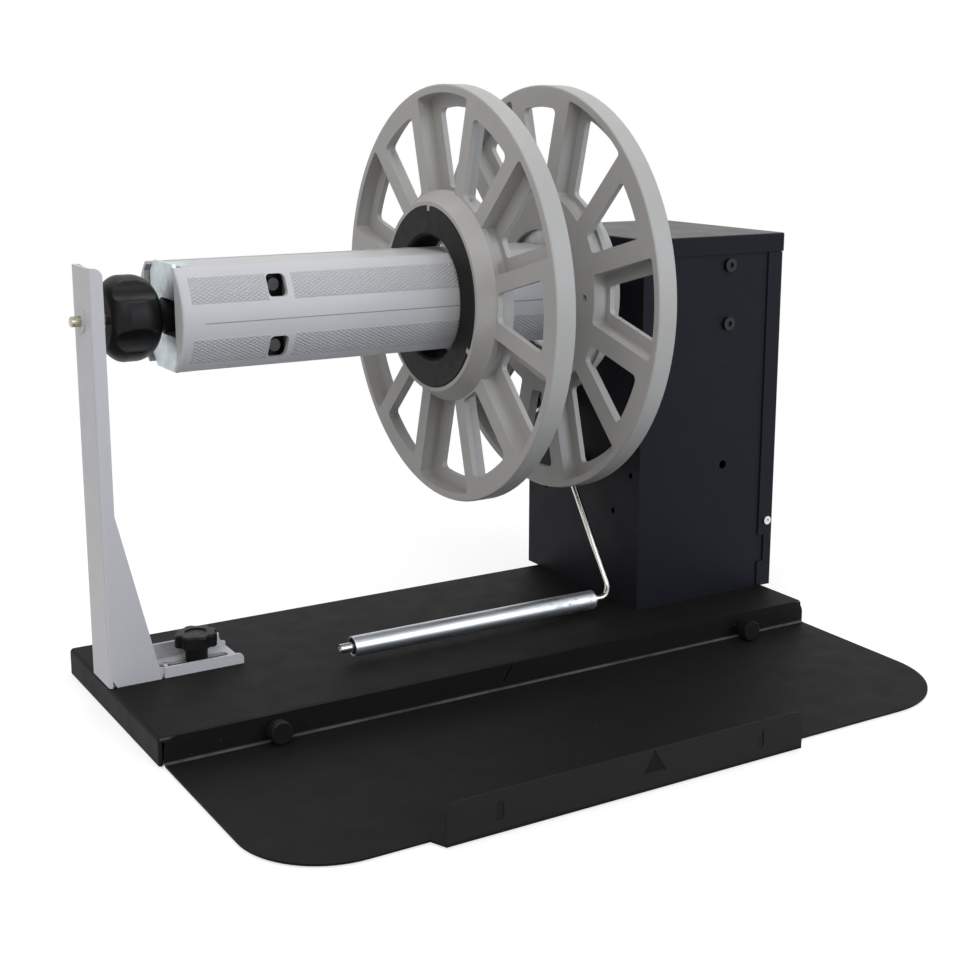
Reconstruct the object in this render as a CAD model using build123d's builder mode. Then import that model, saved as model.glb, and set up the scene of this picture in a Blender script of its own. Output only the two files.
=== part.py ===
from build123d import *
import os
from math import cos, hypot, radians, sin

# Label rewinder, hand cranked. Millimetres, +Z up, +X along the spindle from the support arm to
# the housing, +Y to the back. The origin lies on the bench under the middle of the whole object.

# ------------------------------------------------------------------ driving sizes
FIT = 0.05                    # radial running clearance of a shaft in its bore
SCREW_GAP = 0.2               # radial clearance of a screw in its hole
SEAT = 0.3                    # gap between pieces that lie beside each other
PRESS_GAP = 0.02              # radial gap where two pieces of one body are pressed together

# base pan
BASE_LENGTH = 450.0
BASE_DEPTH = 162.4
BASE_TOP = 16.8
BASE_SHEET = 1.5
SKIRT_GAP = 1.0
PAN_CORNER_R = 2.5
PAN_FOLD_R = 2.4
PAN_RELIEF = 1.8              # open slot where the front wall meets the side walls
FOOT_R = 9.0
FOOT_INSET_X = 22.0
FOOT_INSET_Y = 20.0
FOOT_SCREW_R = 1.9
FOOT_NUT_R = 5.0
FOOT_NUT_DEPTH = 4.0
FOOT_COUNTERBORE = 5.0
FOOT_SCREW_HEAD = 2.6
FOOT_SCREW_HEAD_R = 4.0
FOOT_CHAMFER = 0.8
FLOOR_SCREW_R = 2.0
FLOOR_SCREW_HEAD = 3.0
FLOOR_SCREW_HEAD_R = 4.0
FLOOR_SCREW_LENGTH = 8.0
FLOOR_SCREW_STEP = 37.3       # from the left-hand screws to the right-hand ones
CLAMP_NUT_R = 8.0
CLAMP_NUT = 6.0
GUIDE_PIN_ABOVE = 1.0
GUIDE_PIN_BELOW = 2.0
INSERT_R = 5.0
INSERT_LENGTH = 7.0
LOCK_PIN_R = 1.5              # pin of the right-hand insert, seen in the shelf's flange
LOCK_PIN_STEP = 4.6
LOCK_PIN_RISE = 0.8
LOCK_PIN_PROUD = 0.2

# shelf in front of the base
SHELF_SHEET = 1.2
SHELF_UNDER = 1.0
SHELF_START = 2.5
SHELF_LENGTH = 446.7
SHELF_DEPTH = 147.0
SHELF_LEFT_CORNER_R = 46.0
SHELF_RIGHT_CORNER_R = 58.0
SHELF_FOLD_R = 1.0
SHELF_FLANGE_TOP = 17.4
SHELF_FLANGE_R = 8.5
TAB_START = 81.5
TAB_LENGTH = 229.0
FENCE_START = 85.3
FENCE_LENGTH = 222.1
FENCE_OUT = 156.0             # fence's front face in front of the base
FENCE_TOP = 23.0
FENCE_R = 7.5
FENCE_SLOT_INSET = 29.5
FENCE_SLOT_WIDTH = 4.5
FENCE_SLOT_HEIGHT = 11.0
FENCE_SLOT_Z = 12.3
ARROW_ALONG = 122.0
ARROW_DROP = 0.4
ARROW_WIDTH = 15.0
ARROW_HEIGHT = 12.6
SLIT_X = 215.7
SLIT_Z = 12.2
SLIT_LENGTH = 12.6
SLIT_WIDTH = 0.8
SLIT_LEAN = -32.0
THUMB_X = (66.0, 394.5)
THUMB_STAND = (0.3, 4.3)      # the right-hand one isn't screwed home
THUMB_Z = 9.0
THUMB_HEAD_R = 6.5
THUMB_HEAD_LENGTH = 8.5
THUMB_SHANK_R = 2.9
THUMB_FLUTES = 28
THUMB_FLUTE_R = 0.7
THUMB_FLUTE_OUT = 0.3
THUMB_CHAMFER = 0.5

# housing
HOUSING_START = 341.3
HOUSING_LENGTH = 113.8
HOUSING_SETBACK = 40.7
HOUSING_DEPTH = 132.4
HOUSING_TOP = 261.0
WALL_SHEET = 1.2
CAP_LIP = 12.2
CAP_GAP = 0.3
STRIP_WIDTH = 11.7
STRIP_NOTCH = (17.9, 36.6, 5.0)   # low and high end above the base's top, and depth
FLOOR_FLANGE = 18.0
FLOOR_FLANGE_BACK = 32.0
BRIDGE_SCREW_X = 410.6
BRIDGE_SCREW_Z = (203.0, 241.5)
SPARE_HOLE_Z = 107.4
COVER_SCREW_Z = 63.7
WALL_HOLES = ((69.2, 78.6), (150.4, 78.6), (50.5, 106.0))
WALL_HOLE_R = 2.0
SPARE_HOLE_R = 2.9
SHAFT_HOLE_R = 15.0
COVER_HOLE_R = 11.0
CAP_CORNER_R = 1.4
CAP_SCREW_INSET = 26.0
CAP_SCREW_DROP = 6.7
COVER_SCREW_R = 1.5
COVER_SCREW_HEAD_R = 2.9
COVER_SCREW_HEAD = 1.6
COVER_SCREW_LENGTH = 6.0
COVER_SCREW_INSET = 5.0
BRIDGE_SCREW_R = 2.2
BRIDGE_SCREW_HEAD_R = 4.4
BRIDGE_SCREW_HEAD = 2.4
BRIDGE_SCREW_LENGTH = 9.0
SOCKET_SHARE = 0.45           # across a screw's socket, of its head
SOCKET_DEPTH_SHARE = 0.6      # and how deep it goes

# spindle and its bearings
SPINDLE_SETBACK = 99.7
SPINDLE_Z = 225.9
SHAFT_R = 8.5
SHAFT_INSET = 14.0            # from the hub block's left end to the shaft's
SHAFT_CHAMFER = 0.8
BEARING_OUTER_R = 17.5
BEARING_WIDTH = 10.0
RACE_STEP = 2.9
BALL_R = 2.2
BALL_COUNT = 8
BEARING_BODY_R = 24.0
BEARING_FLANGE_R = 33.2
BEARING_FLANGE = 5.0
BEARING_BODY = 14.0
BEARING_BOLT_RADIUS = 28.5
BEARING_BOLTS = 3
BEARING_BOLT_TURN = -90.0
BEARING_BOLT_R = 2.4
BEARING_SCREW_HEAD = 3.0
BEARING_SCREW_HEAD_R = 4.3
BEARING_SCREW_SOCKET_R = 2.2
BEARING_SCREW_PAST = 1.0
PLATE_SHEET = 3.0
WALL_PLATE_WIDTH = 80.0
WALL_PLATE_HEIGHT = 68.0
WALL_PLATE_DROP = 6.0
WALL_PLATE_CORNER_R = 4.0
BRIDGE_X = 400.0
BRIDGE_FLANGE = 20.0
BRIDGE_Z = (186.0, 256.0)
FELT = 3.0
FELT_INSET = 0.5
BRAKE_GAP = 0.1
BRAKE_DISC = 4.0
BRAKE_DISC_R = 25.0
BRAKE_NUT = 8.0
BRAKE_NUT_R = 15.0
SPRING_COIL_R = 12.5
SPRING_WIRE_R = 1.2
SPRING_TURNS = 5
SPRING_GAP = 0.1
SPACER_R = 12.0

# flanges of the roll
FLANGE_R = 130.0
FLANGE_WIDTH = 13.4
FLANGE_WALL = 3.5
FLANGE_RIM = 5.0
OUTER_FLANGE_X = 228.2
INNER_FLANGE_X = 299.6
FLANGE_EDGE_R = 1.2
SECTORS = 12
HUB_R = 64.0
WINDOW_IN_R = 67.0
WINDOW_OUT_R = 116.5
WINDOW_SIDE = 9.0
RECESS_WINDOW_SIDE = 11.5
RIB = 3.0
RECESS_CORNER_R = 2.5
WINDOW_CORNER_R = 3.5
COLLAR = 9.6
COLLAR_FOOT_R = 66.0
COLLAR_TOP_R = 59.2
RING_R = 56.7
RING_GAP = 0.9                # from the collapsed chuck to the ring's bore
RING_PROUD = 0.4
RING_CHAMFER = 1.0
RING_LEAD = 1.5
KEYS = 3
KEY_WIDTH = 3.6
KEY_DEPTH = 3.0
HUB_HOLE_R = 2.3
HUB_HOLE_RADIUS = 53.5

# core chuck
CHUCK_R = 37.6
RING_BORE_R = CHUCK_R + RING_GAP
CHUCK_HALF_HEIGHT = 29.0
CHUCK_START = 45.0
CHUCK_SHELL_END = 297.5
SHELL_WALL = 3.2
SHELL_TRAVEL = 0.6
SHELL_GAP = 0.6
CHANNEL_HALF_WIDTH = 20.2
CHANNEL_SHEET = 2.0
CHANNEL_CORNER_R = 2.8
CHANNEL_FIT = 0.1
CHANNEL_START = 52.0
CHANNEL_END = 322.0
END_PLATE_X = 47.0
END_PLATE_HALF_WIDTH = 20.2
END_PLATE_CHAMFER = 7.0
END_SLOT_HALF = 10.4
END_TAB = 4.0
END_TAB_OUT = 16.5
END_TAB_WIDTH = 12.0
END_TAB_SHEET = 1.5
SUPPORT_X = 60.0
SUPPORT_LENGTH = 12.0
BLOCK_EDGE_R = 1.0
WEDGE_X = (102.5, 236.0)
WEDGE_LENGTH = 24.0
WEDGE_HALF_HEIGHT = 7.0
WEDGE_WINDOW_HALF = 9.0
WEDGE_MID_HALF = 12.8
WEDGE_TRAVEL = 3.0
RAMP_LENGTH = 10.0
RAMP_ROOT = 0.5
SCREW_R = 6.0
JOURNAL_R = 5.0
PILOT_WALL = 2.0
PILOT_ROOM = 1.0
PIN_R = 3.0
PIN_PROUD = 6.2
PIN_CHAMFER = 0.5
KNOB_START = 12.3
KNOB_LENGTH = 29.7
KNOB_R = 24.4
KNOB_LOBES = 5
KNOB_TURN = 170.0
KNOB_SCOOP_R = 9.0
KNOB_BITE = 4.5
LOBE_EDGE_R = 1.8
NECK_R = 9.6
NECK_LENGTH = 14.0
NECK_STEP = 6.3
NECK_GROOVE_WIDTH = 1.4
NECK_GROOVE_DEPTH = 1.0
NECK_CHAMFER = 0.8
WINDOW_Z = 17.4
WINDOW_LENGTH = 11.5
WINDOW_HEIGHT = 12.6
WINDOW_EDGE_R = 2.8
SHELL_EDGE_R = 1.6
SHELL_END_WALL = 3.0
SHELL_END_INSET = 1.7
SHELL_END_CLEAR = 4.0         # from the shell's long edge to its end walls
SHELL_SCREW_R = 2.0
SHELL_SCREW_HEAD_R = 3.6
SHELL_SCREW_HEAD = 2.4
SHELL_SCREW_REACH = 5.0
SHELL_SCREW_INSIDE = 2.0
SHELL_WASHER = 3.0
HUB_BLOCK_START = 254.0
HUB_BLOCK_END = 318.0
FLANGE_HUB_LIP_R = 50.0
FLANGE_HUB_LIP = 3.0
HUB_SCREWS = 3
HUB_SCREW_TURN = 30.0
HUB_SCREW_RADIUS = 46.0
HUB_SCREW_R = 1.9
HUB_SCREW_DEPTH = 11.0
HUB_SCREW_HEAD = 1.2
HUB_SCREW_HEAD_R = 3.2

# support arm and its clamp
ARM_SHEET = 2.0
ARM_START = 0.2
ARM_SETBACK = 82.5
ARM_WIDTH = 31.8
ARM_TOP = 256.2
ARM_LIP = 7.6
ARM_FLARE = 31.0
ARM_FLARE_Z = 117.4
ARM_CORNER_R = 5.0
ARM_RELIEF = 2.4              # open notch where the web, the sides and the foot meet
ARM_RELIEF_HEIGHT = 4.5
FOOT_END = 81.8
FOOT_LIP = 6.3
FOOT_BACK_LIP = 10.5
FOOT_BACK_STEP = 4.0          # the back lip's sweep down to its tail
FOOT_TAIL = 4.4
FOOT_NOTCH = 2.0
FOOT_LIP_R = 3.0
FOLD_R = 1.6
SLOT_GAP = 0.5
ARM_TRAVEL = 16.0
CLAMP_X = 58.1
CLAMP_KNOB_R = 12.8
CLAMP_KNOB_HEIGHT = 7.7
CLAMP_NECK_R = 6.7
CLAMP_NECK_HEIGHT = 9.5
CLAMP_STUD_R = 3.0
CLAMP_STUD_IN = 4.0
CLAMP_STUD_BELOW = 1.0
CLAMP_GAP = 0.1
STUD_CHAMFER = 0.6
CLAMP_LOBES = 8
CLAMP_SCOOP_R = 3.2
CLAMP_BITE = 1.5
CLAMP_EDGE_R = 1.4
CLAMP_DISH_R = 6.5
CLAMP_DISH = 0.8
GUIDE_PIN_X = 38.6
BUSH_R = 4.5
BUSH_RIM_R = 6.5
BUSH_RIM = 0.8
BUSH_LENGTH = 6.0

# dancer
DANCER_X = 329.0
PIVOT_SETBACK = 135.7
PIVOT_Z = 145.0
PIVOT_R = 4.0
PIVOT_HEAD = 3.0
PIVOT_HEAD_R = 6.5
PIVOT_BOSS_R = 7.0
PIVOT_BOSS = 6.0
DANCER_HUB_R = 9.0
DANCER_HUB_START = 320.4
ROD_R = 2.0
ROD_BEND_R = 9.0
ROD_FROM_PIVOT = 5.2
ROD_END = 132.0
ROLLER_SETBACK = 52.6
ROLLER_Z = 25.6
ROLLER_R = 6.25
ROLLER_WALL = 1.2
ROLLER_START = 138.8
ROLLER_END = 313.4
ROLLER_BUSH = 9.0
COLLAR_RADIUS = 2.9
COLLAR_LENGTH = 3.0
COLLAR_GAP = 0.1
BUSH_INSET = 0.6
ROLLER_EDGE_R = 0.3
STOP_R = 5.0
STOP_ALONG = 46.0
STOP_PAST_ROD = 4.0
STOP_EDGE_R = 1.2
STOP_SCREW_R = 2.4
STOP_SCREW_IN = 5.0

# crank
CRANK_RADIUS = 65.0
CRANK_HUB_R = 13.0
CRANK_HUB = 12.0
CRANK_GAP = 4.0
CRANK_END_WALL = 1.0
CRANK_CHAMFER = 1.0
CRANK_ARM = 6.0
CRANK_ARM_END_R = 9.5
CRANK_BOLT_R = 3.0
CRANK_BOLT_LENGTH = 18.0
CRANK_BOLT_HEAD = 4.0
CRANK_BOLT_HEAD_R = 6.0
CRANK_BOLT_ROOM = 1.0
GRIP_R = 12.0
GRIP_LENGTH = 72.0
GRIP_AXLE_R = 4.0
GRIP_BORE_GAP = 0.08
GRIP_HEAD_R = 7.0
GRIP_HEAD = 3.0
GRIP_START_R = 8.6
GRIP_NECK_R = 9.6
GRIP_SHOULDER_R = 8.6
GRIP_END_R = 7.2
GRIP_BELLY = 40.0             # where the grip is thickest, from its start
GRIP_ROUNDING = 4.0

# ------------------------------------------------------------------ places
CRANK_REACH = CRANK_GAP + CRANK_HUB / 2 + CRANK_ARM / 2 + SEAT + GRIP_LENGTH + SEAT + GRIP_HEAD
HOUSING_END_INSET = HOUSING_START + HOUSING_LENGTH
LEFT = PIN_PROUD - (PIN_PROUD + HOUSING_END_INSET + CRANK_REACH) / 2
FRONT = (FENCE_OUT - SPINDLE_SETBACK - FLANGE_R) / 2
RIGHT = LEFT + BASE_LENGTH
BACK = FRONT + BASE_DEPTH
BASE_UNDER = BASE_TOP - BASE_SHEET
SPINDLE_Y = FRONT + SPINDLE_SETBACK
SPINDLE = (SPINDLE_Y, SPINDLE_Z)
HOUSING_LEFT = LEFT + HOUSING_START
HOUSING_RIGHT = LEFT + HOUSING_END_INSET
HOUSING_FRONT = FRONT + HOUSING_SETBACK
HOUSING_BACK = HOUSING_FRONT + HOUSING_DEPTH
INNER_LEFT = HOUSING_LEFT + WALL_SHEET
INNER_RIGHT = HOUSING_RIGHT - WALL_SHEET
INNER_FRONT = HOUSING_FRONT + WALL_SHEET
INNER_BACK = HOUSING_BACK - WALL_SHEET
WALL_TOP = HOUSING_TOP - WALL_SHEET
LIP_BOTTOM = HOUSING_TOP - CAP_LIP
ARM_FRONT = FRONT + ARM_SETBACK
ARM_BACK = ARM_FRONT + ARM_WIDTH
ARM_MID = (ARM_FRONT + ARM_BACK) / 2
ARM_LEFT = LEFT + ARM_START
CLAMP = (LEFT + CLAMP_X, ARM_MID)
PIVOT = (FRONT + PIVOT_SETBACK, PIVOT_Z)
ROLLER = (FRONT + ROLLER_SETBACK, ROLLER_Z)
SPACER_START = LEFT + HUB_BLOCK_END
PLATE_RIGHT = INNER_LEFT + PLATE_SHEET
BODY_A_END = PLATE_RIGHT + BEARING_BODY
BODY_B_START = LEFT + BRIDGE_X + PLATE_SHEET
LAND = (BEARING_BODY - BEARING_WIDTH) / 2
RACE_A = PLATE_RIGHT + LAND
RACE_B = BODY_B_START + LAND
CRANK_START = HOUSING_RIGHT + CRANK_GAP
CRANK_ARM_START = CRANK_START + (CRANK_HUB - CRANK_ARM) / 2
GRIP_START = CRANK_ARM_START + CRANK_ARM + SEAT
GRIP_END = GRIP_START + GRIP_LENGTH
GRIP_AT = (SPINDLE_Y + CRANK_RADIUS, SPINDLE_Z)
HALF_SECTOR = 180.0 / SECTORS

NODES = []


def finish(builder, name):
    """Labels a finished piece and keeps it for writing."""
    builder.part.label = name
    NODES.append(builder.part)


def side(x, at=SPINDLE):
    """A plane square to the spindle: sketch x is to the back, sketch y is up, extruding to +X."""
    return Plane(origin=(x, at[0], at[1]), x_dir=(0, 1, 0), z_dir=(1, 0, 0))


def face(y):
    """A plane facing the front: sketch x is to the right, sketch y is up from the bench."""
    return Plane(origin=(0, y, 0), x_dir=(1, 0, 0), z_dir=(0, -1, 0))


def along(x, at=SPINDLE):
    """A plane that holds a turned piece's axis: sketch x runs along it to +X, sketch y is the radius."""
    return Plane(origin=(x, at[0], at[1]), x_dir=(1, 0, 0), z_dir=(0, -1, 0))


def block(x, y, z, mode=Mode.ADD):
    """A box between two values on each axis, in the piece being built."""
    with Locations((sum(x) / 2, sum(y) / 2, sum(z) / 2)):
        Box(x[1] - x[0], y[1] - y[0], z[1] - z[0], mode=mode)


def bar_x(x, radius, at=SPINDLE, mode=Mode.ADD):
    """A round bar along X between two values of x, about the line at (y, z)."""
    with Locations((sum(x) / 2, at[0], at[1])):
        Cylinder(radius, x[1] - x[0], rotation=(0, 90, 0), mode=mode)


def bar_y(y, radius, at, mode=Mode.ADD):
    """A round bar along Y between two values of y, about the line at (x, z)."""
    with Locations((at[0], sum(y) / 2, at[1])):
        Cylinder(radius, y[1] - y[0], rotation=(90, 0, 0), mode=mode)


def bar_z(z, radius, at, mode=Mode.ADD):
    """A round bar along Z between two values of z, about the line at (x, y)."""
    with Locations((at[0], at[1], sum(z) / 2)):
        Cylinder(radius, z[1] - z[0], mode=mode)


# ------------------------------------------------------------------ base
FEET = [
    (LEFT + FOOT_INSET_X, FRONT + FOOT_INSET_Y),
    (RIGHT - FOOT_INSET_X, FRONT + FOOT_INSET_Y),
    (LEFT + FOOT_INSET_X, BACK - FOOT_INSET_Y),
    (RIGHT - FOOT_INSET_X, BACK - FOOT_INSET_Y),
]
FOOT_NUT_BOTTOM = BASE_UNDER - FOOT_NUT_DEPTH
FLOOR_SCREW_RIGHT = INNER_LEFT + FLOOR_FLANGE / 2 + FLOOR_SCREW_STEP
FLOOR_SCREWS = [
    (INNER_LEFT + FLOOR_FLANGE / 2, INNER_FRONT + FLOOR_FLANGE / 2),
    (INNER_LEFT + FLOOR_FLANGE / 2, INNER_BACK - FLOOR_FLANGE_BACK + FLOOR_FLANGE / 2),
    (FLOOR_SCREW_RIGHT, INNER_FRONT + FLOOR_FLANGE / 2),
    (FLOOR_SCREW_RIGHT, INNER_BACK - FLOOR_FLANGE_BACK + FLOOR_FLANGE / 2),
]
RELIEFS = (
    (LEFT + BASE_SHEET, LEFT + BASE_SHEET + PAN_RELIEF),
    (RIGHT - BASE_SHEET - PAN_RELIEF, RIGHT - BASE_SHEET),
)
LOCK_PIN = (LEFT + THUMB_X[1] - LOCK_PIN_STEP, THUMB_Z + LOCK_PIN_RISE)

with BuildPart() as base_pan:
    with BuildSketch(Plane.XY.offset(SKIRT_GAP)):
        with Locations(((LEFT + RIGHT) / 2, (FRONT + BACK) / 2)):
            RectangleRounded(BASE_LENGTH, BASE_DEPTH, PAN_CORNER_R)
    extrude(amount=BASE_TOP - SKIRT_GAP)
    fillet(base_pan.faces().sort_by(Axis.Z)[-1].edges(), PAN_FOLD_R)
    with BuildSketch(Plane.XY.offset(SKIRT_GAP)):
        with Locations(((LEFT + RIGHT) / 2, (FRONT + BACK) / 2)):
            RectangleRounded(
                BASE_LENGTH - 2 * BASE_SHEET, BASE_DEPTH - 2 * BASE_SHEET, PAN_CORNER_R - BASE_SHEET
            )
    extrude(amount=BASE_UNDER - SKIRT_GAP, mode=Mode.SUBTRACT)
    for spot in FEET:
        bar_z((FOOT_NUT_BOTTOM, BASE_UNDER), FOOT_NUT_R, spot)
        bar_z((FOOT_NUT_BOTTOM, BASE_UNDER), FOOT_SCREW_R + SCREW_GAP, spot, Mode.SUBTRACT)
    for spot in FLOOR_SCREWS:
        bar_z((BASE_UNDER, BASE_TOP), FLOOR_SCREW_R + SCREW_GAP, spot, Mode.SUBTRACT)
    for offset in THUMB_X:
        bar_y(
            (FRONT, FRONT + BASE_SHEET), THUMB_SHANK_R + SCREW_GAP, (LEFT + offset, THUMB_Z),
            Mode.SUBTRACT,
        )
    bar_y((FRONT, FRONT + BASE_SHEET), LOCK_PIN_R + SCREW_GAP, LOCK_PIN, Mode.SUBTRACT)
    for ends in RELIEFS:
        block(ends, (FRONT, FRONT + BASE_SHEET), (SKIRT_GAP, BASE_TOP - PAN_FOLD_R), Mode.SUBTRACT)
    bar_z((BASE_UNDER, BASE_TOP), CLAMP_STUD_R + SCREW_GAP, CLAMP, Mode.SUBTRACT)
    bar_z(
        (BASE_UNDER, BASE_TOP), PIN_R + PRESS_GAP, (LEFT + GUIDE_PIN_X, ARM_MID), Mode.SUBTRACT
    )
finish(base_pan, "base_pan")

with BuildPart() as rubber_feet:
    for spot in FEET:
        bar_z((0, BASE_UNDER), FOOT_R, spot)
        bar_z((FOOT_NUT_BOTTOM - SEAT, BASE_UNDER), FOOT_NUT_R + SEAT, spot, Mode.SUBTRACT)
        bar_z((0, FOOT_NUT_BOTTOM), FOOT_SCREW_R + SCREW_GAP, spot, Mode.SUBTRACT)
        bar_z((0, FOOT_COUNTERBORE), FOOT_SCREW_HEAD_R + SEAT, spot, Mode.SUBTRACT)
    chamfer(
        rubber_feet.edges().group_by(Axis.Z)[0].filter_by(lambda edge: edge.radius > FOOT_R - SEAT),
        FOOT_CHAMFER,
    )
finish(rubber_feet, "rubber_feet")

with BuildPart() as foot_screws:
    for spot in FEET:
        bar_z((FOOT_COUNTERBORE - FOOT_SCREW_HEAD, FOOT_COUNTERBORE), FOOT_SCREW_HEAD_R, spot)
        bar_z((FOOT_COUNTERBORE, BASE_UNDER - SEAT), FOOT_SCREW_R, spot)
finish(foot_screws, "foot_screws")

with BuildPart() as clamp_nut:
    with BuildSketch(Plane.XY.offset(BASE_UNDER - CLAMP_NUT)):
        with Locations(CLAMP):
            RegularPolygon(CLAMP_NUT_R, 6)
            Circle(CLAMP_STUD_R + SCREW_GAP, mode=Mode.SUBTRACT)
    extrude(amount=CLAMP_NUT)
finish(clamp_nut, "clamp_nut")

with BuildPart() as guide_pin:
    bar_z(
        (BASE_UNDER - GUIDE_PIN_BELOW, BASE_TOP + ARM_SHEET + GUIDE_PIN_ABOVE), PIN_R,
        (LEFT + GUIDE_PIN_X, ARM_MID),
    )
    chamfer(guide_pin.edges().sort_by(Axis.Z)[-1], STUD_CHAMFER)
finish(guide_pin, "guide_pin")

with BuildPart() as thumbscrew_inserts:
    for offset in THUMB_X:
        spot = (LEFT + offset, THUMB_Z)
        bar_y((FRONT + BASE_SHEET, FRONT + BASE_SHEET + INSERT_LENGTH), INSERT_R, spot)
        bar_y(
            (FRONT + BASE_SHEET, FRONT + BASE_SHEET + INSERT_LENGTH), THUMB_SHANK_R + SCREW_GAP,
            spot, Mode.SUBTRACT,
        )
    bar_y(
        (FRONT - SHELF_SHEET - LOCK_PIN_PROUD, FRONT + BASE_SHEET + INSERT_R), LOCK_PIN_R, LOCK_PIN
    )
    bar_y(
        (FRONT + BASE_SHEET, FRONT + BASE_SHEET + INSERT_LENGTH), THUMB_SHANK_R + SCREW_GAP,
        (LEFT + THUMB_X[1], THUMB_Z), Mode.SUBTRACT,
    )
finish(thumbscrew_inserts, "thumbscrew_inserts")

# ------------------------------------------------------------------ shelf
SHELF_LEFT = LEFT + SHELF_START
SHELF_RIGHT = SHELF_LEFT + SHELF_LENGTH
SHELF_TOP = SHELF_UNDER + SHELF_SHEET
FENCE_BACK = FRONT - FENCE_OUT + SHELF_SHEET
FENCE_LEFT = LEFT + FENCE_START
FENCE_RIGHT = FENCE_LEFT + FENCE_LENGTH

with BuildPart() as shelf_plate:
    with BuildSketch(Plane.XY.offset(SHELF_UNDER)):
        with Locations((SHELF_LEFT, FRONT)):
            Rectangle(SHELF_LENGTH, SHELF_DEPTH, align=(Align.MIN, Align.MAX))
        fillet(vertices().group_by(Axis.Y)[0].sort_by(Axis.X)[0], SHELF_LEFT_CORNER_R)
        fillet(vertices().group_by(Axis.X)[-1].sort_by(Axis.Y)[0], SHELF_RIGHT_CORNER_R)
        with BuildLine():
            Polyline(
                (LEFT + TAB_START, FRONT - SHELF_DEPTH), (FENCE_LEFT, FRONT - FENCE_OUT),
                (FENCE_RIGHT, FRONT - FENCE_OUT), (LEFT + TAB_START + TAB_LENGTH, FRONT - SHELF_DEPTH),
                close=True,
            )
        make_face()
    extrude(amount=SHELF_SHEET)
    with BuildSketch(face(FRONT)):
        with Locations((SHELF_LEFT, SHELF_UNDER)):
            Rectangle(SHELF_LENGTH, SHELF_FLANGE_TOP - SHELF_UNDER, align=(Align.MIN, Align.MIN))
        fillet(vertices().group_by(Axis.Y)[-1], SHELF_FLANGE_R)
        for offset in THUMB_X:
            with Locations((LEFT + offset, THUMB_Z)):
                Circle(THUMB_SHANK_R + SCREW_GAP, mode=Mode.SUBTRACT)
        with Locations(LOCK_PIN):
            Circle(LOCK_PIN_R + SCREW_GAP, mode=Mode.SUBTRACT)
        with Locations(Location((LEFT + SLIT_X, SLIT_Z, 0), (0, 0, SLIT_LEAN))):
            Rectangle(SLIT_WIDTH, SLIT_LENGTH, mode=Mode.SUBTRACT)
    extrude(amount=SHELF_SHEET)
    with BuildSketch(face(FENCE_BACK)):
        with Locations((FENCE_LEFT, SHELF_UNDER)):
            Rectangle(FENCE_LENGTH, FENCE_TOP - SHELF_UNDER, align=(Align.MIN, Align.MIN))
        fillet(vertices().group_by(Axis.Y)[-1], FENCE_R)
        with Locations(
            (FENCE_LEFT + FENCE_SLOT_INSET, FENCE_SLOT_Z),
            (FENCE_RIGHT - FENCE_SLOT_INSET, FENCE_SLOT_Z),
        ):
            SlotOverall(FENCE_SLOT_HEIGHT, FENCE_SLOT_WIDTH, rotation=90, mode=Mode.SUBTRACT)
        with Locations((FENCE_LEFT + ARROW_ALONG, FENCE_TOP - ARROW_DROP)):
            Polygon(
                (0, 0), (-ARROW_WIDTH / 2, -ARROW_HEIGHT), (ARROW_WIDTH / 2, -ARROW_HEIGHT),
                align=None, mode=Mode.SUBTRACT,
            )
    extrude(amount=SHELF_SHEET)
    long_edges = shelf_plate.edges().filter_by(Axis.X)
    crease = long_edges.filter_by(
        lambda edge: abs(edge.center().Y - FRONT + SHELF_SHEET) + abs(edge.center().Z - SHELF_TOP) < FIT
    )
    heel = long_edges.filter_by(
        lambda edge: abs(edge.center().Y - FRONT) + abs(edge.center().Z - SHELF_UNDER) < FIT
    )
    fillet(crease, SHELF_FOLD_R)
    fillet(heel, SHELF_FOLD_R + SHELF_SHEET)
finish(shelf_plate, "shelf_plate")


def thumbscrew(offset, stand):
    """A knurled thumbscrew through the shelf's flange into the base's front wall."""
    spot = (LEFT + offset, THUMB_Z)
    seat = FRONT - SHELF_SHEET - stand
    with BuildPart() as blank:
        bar_y((seat - THUMB_HEAD_LENGTH, seat), THUMB_HEAD_R, spot)
        chamfer(blank.edges().filter_by(GeomType.CIRCLE), THUMB_CHAMFER)
    with BuildPart() as screw:
        with BuildSketch(face(seat)):
            with Locations(spot):
                Circle(THUMB_HEAD_R)
                with PolarLocations(THUMB_HEAD_R + THUMB_FLUTE_OUT, THUMB_FLUTES):
                    Circle(THUMB_FLUTE_R, mode=Mode.SUBTRACT)
        extrude(amount=THUMB_HEAD_LENGTH)
        add(blank.part, mode=Mode.INTERSECT)
        bar_y((seat, FRONT + BASE_SHEET + INSERT_LENGTH), THUMB_SHANK_R, spot)
    return screw


finish(thumbscrew(THUMB_X[0], THUMB_STAND[0]), "thumbscrew_left")
finish(thumbscrew(THUMB_X[1], THUMB_STAND[1]), "thumbscrew_right")

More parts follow.
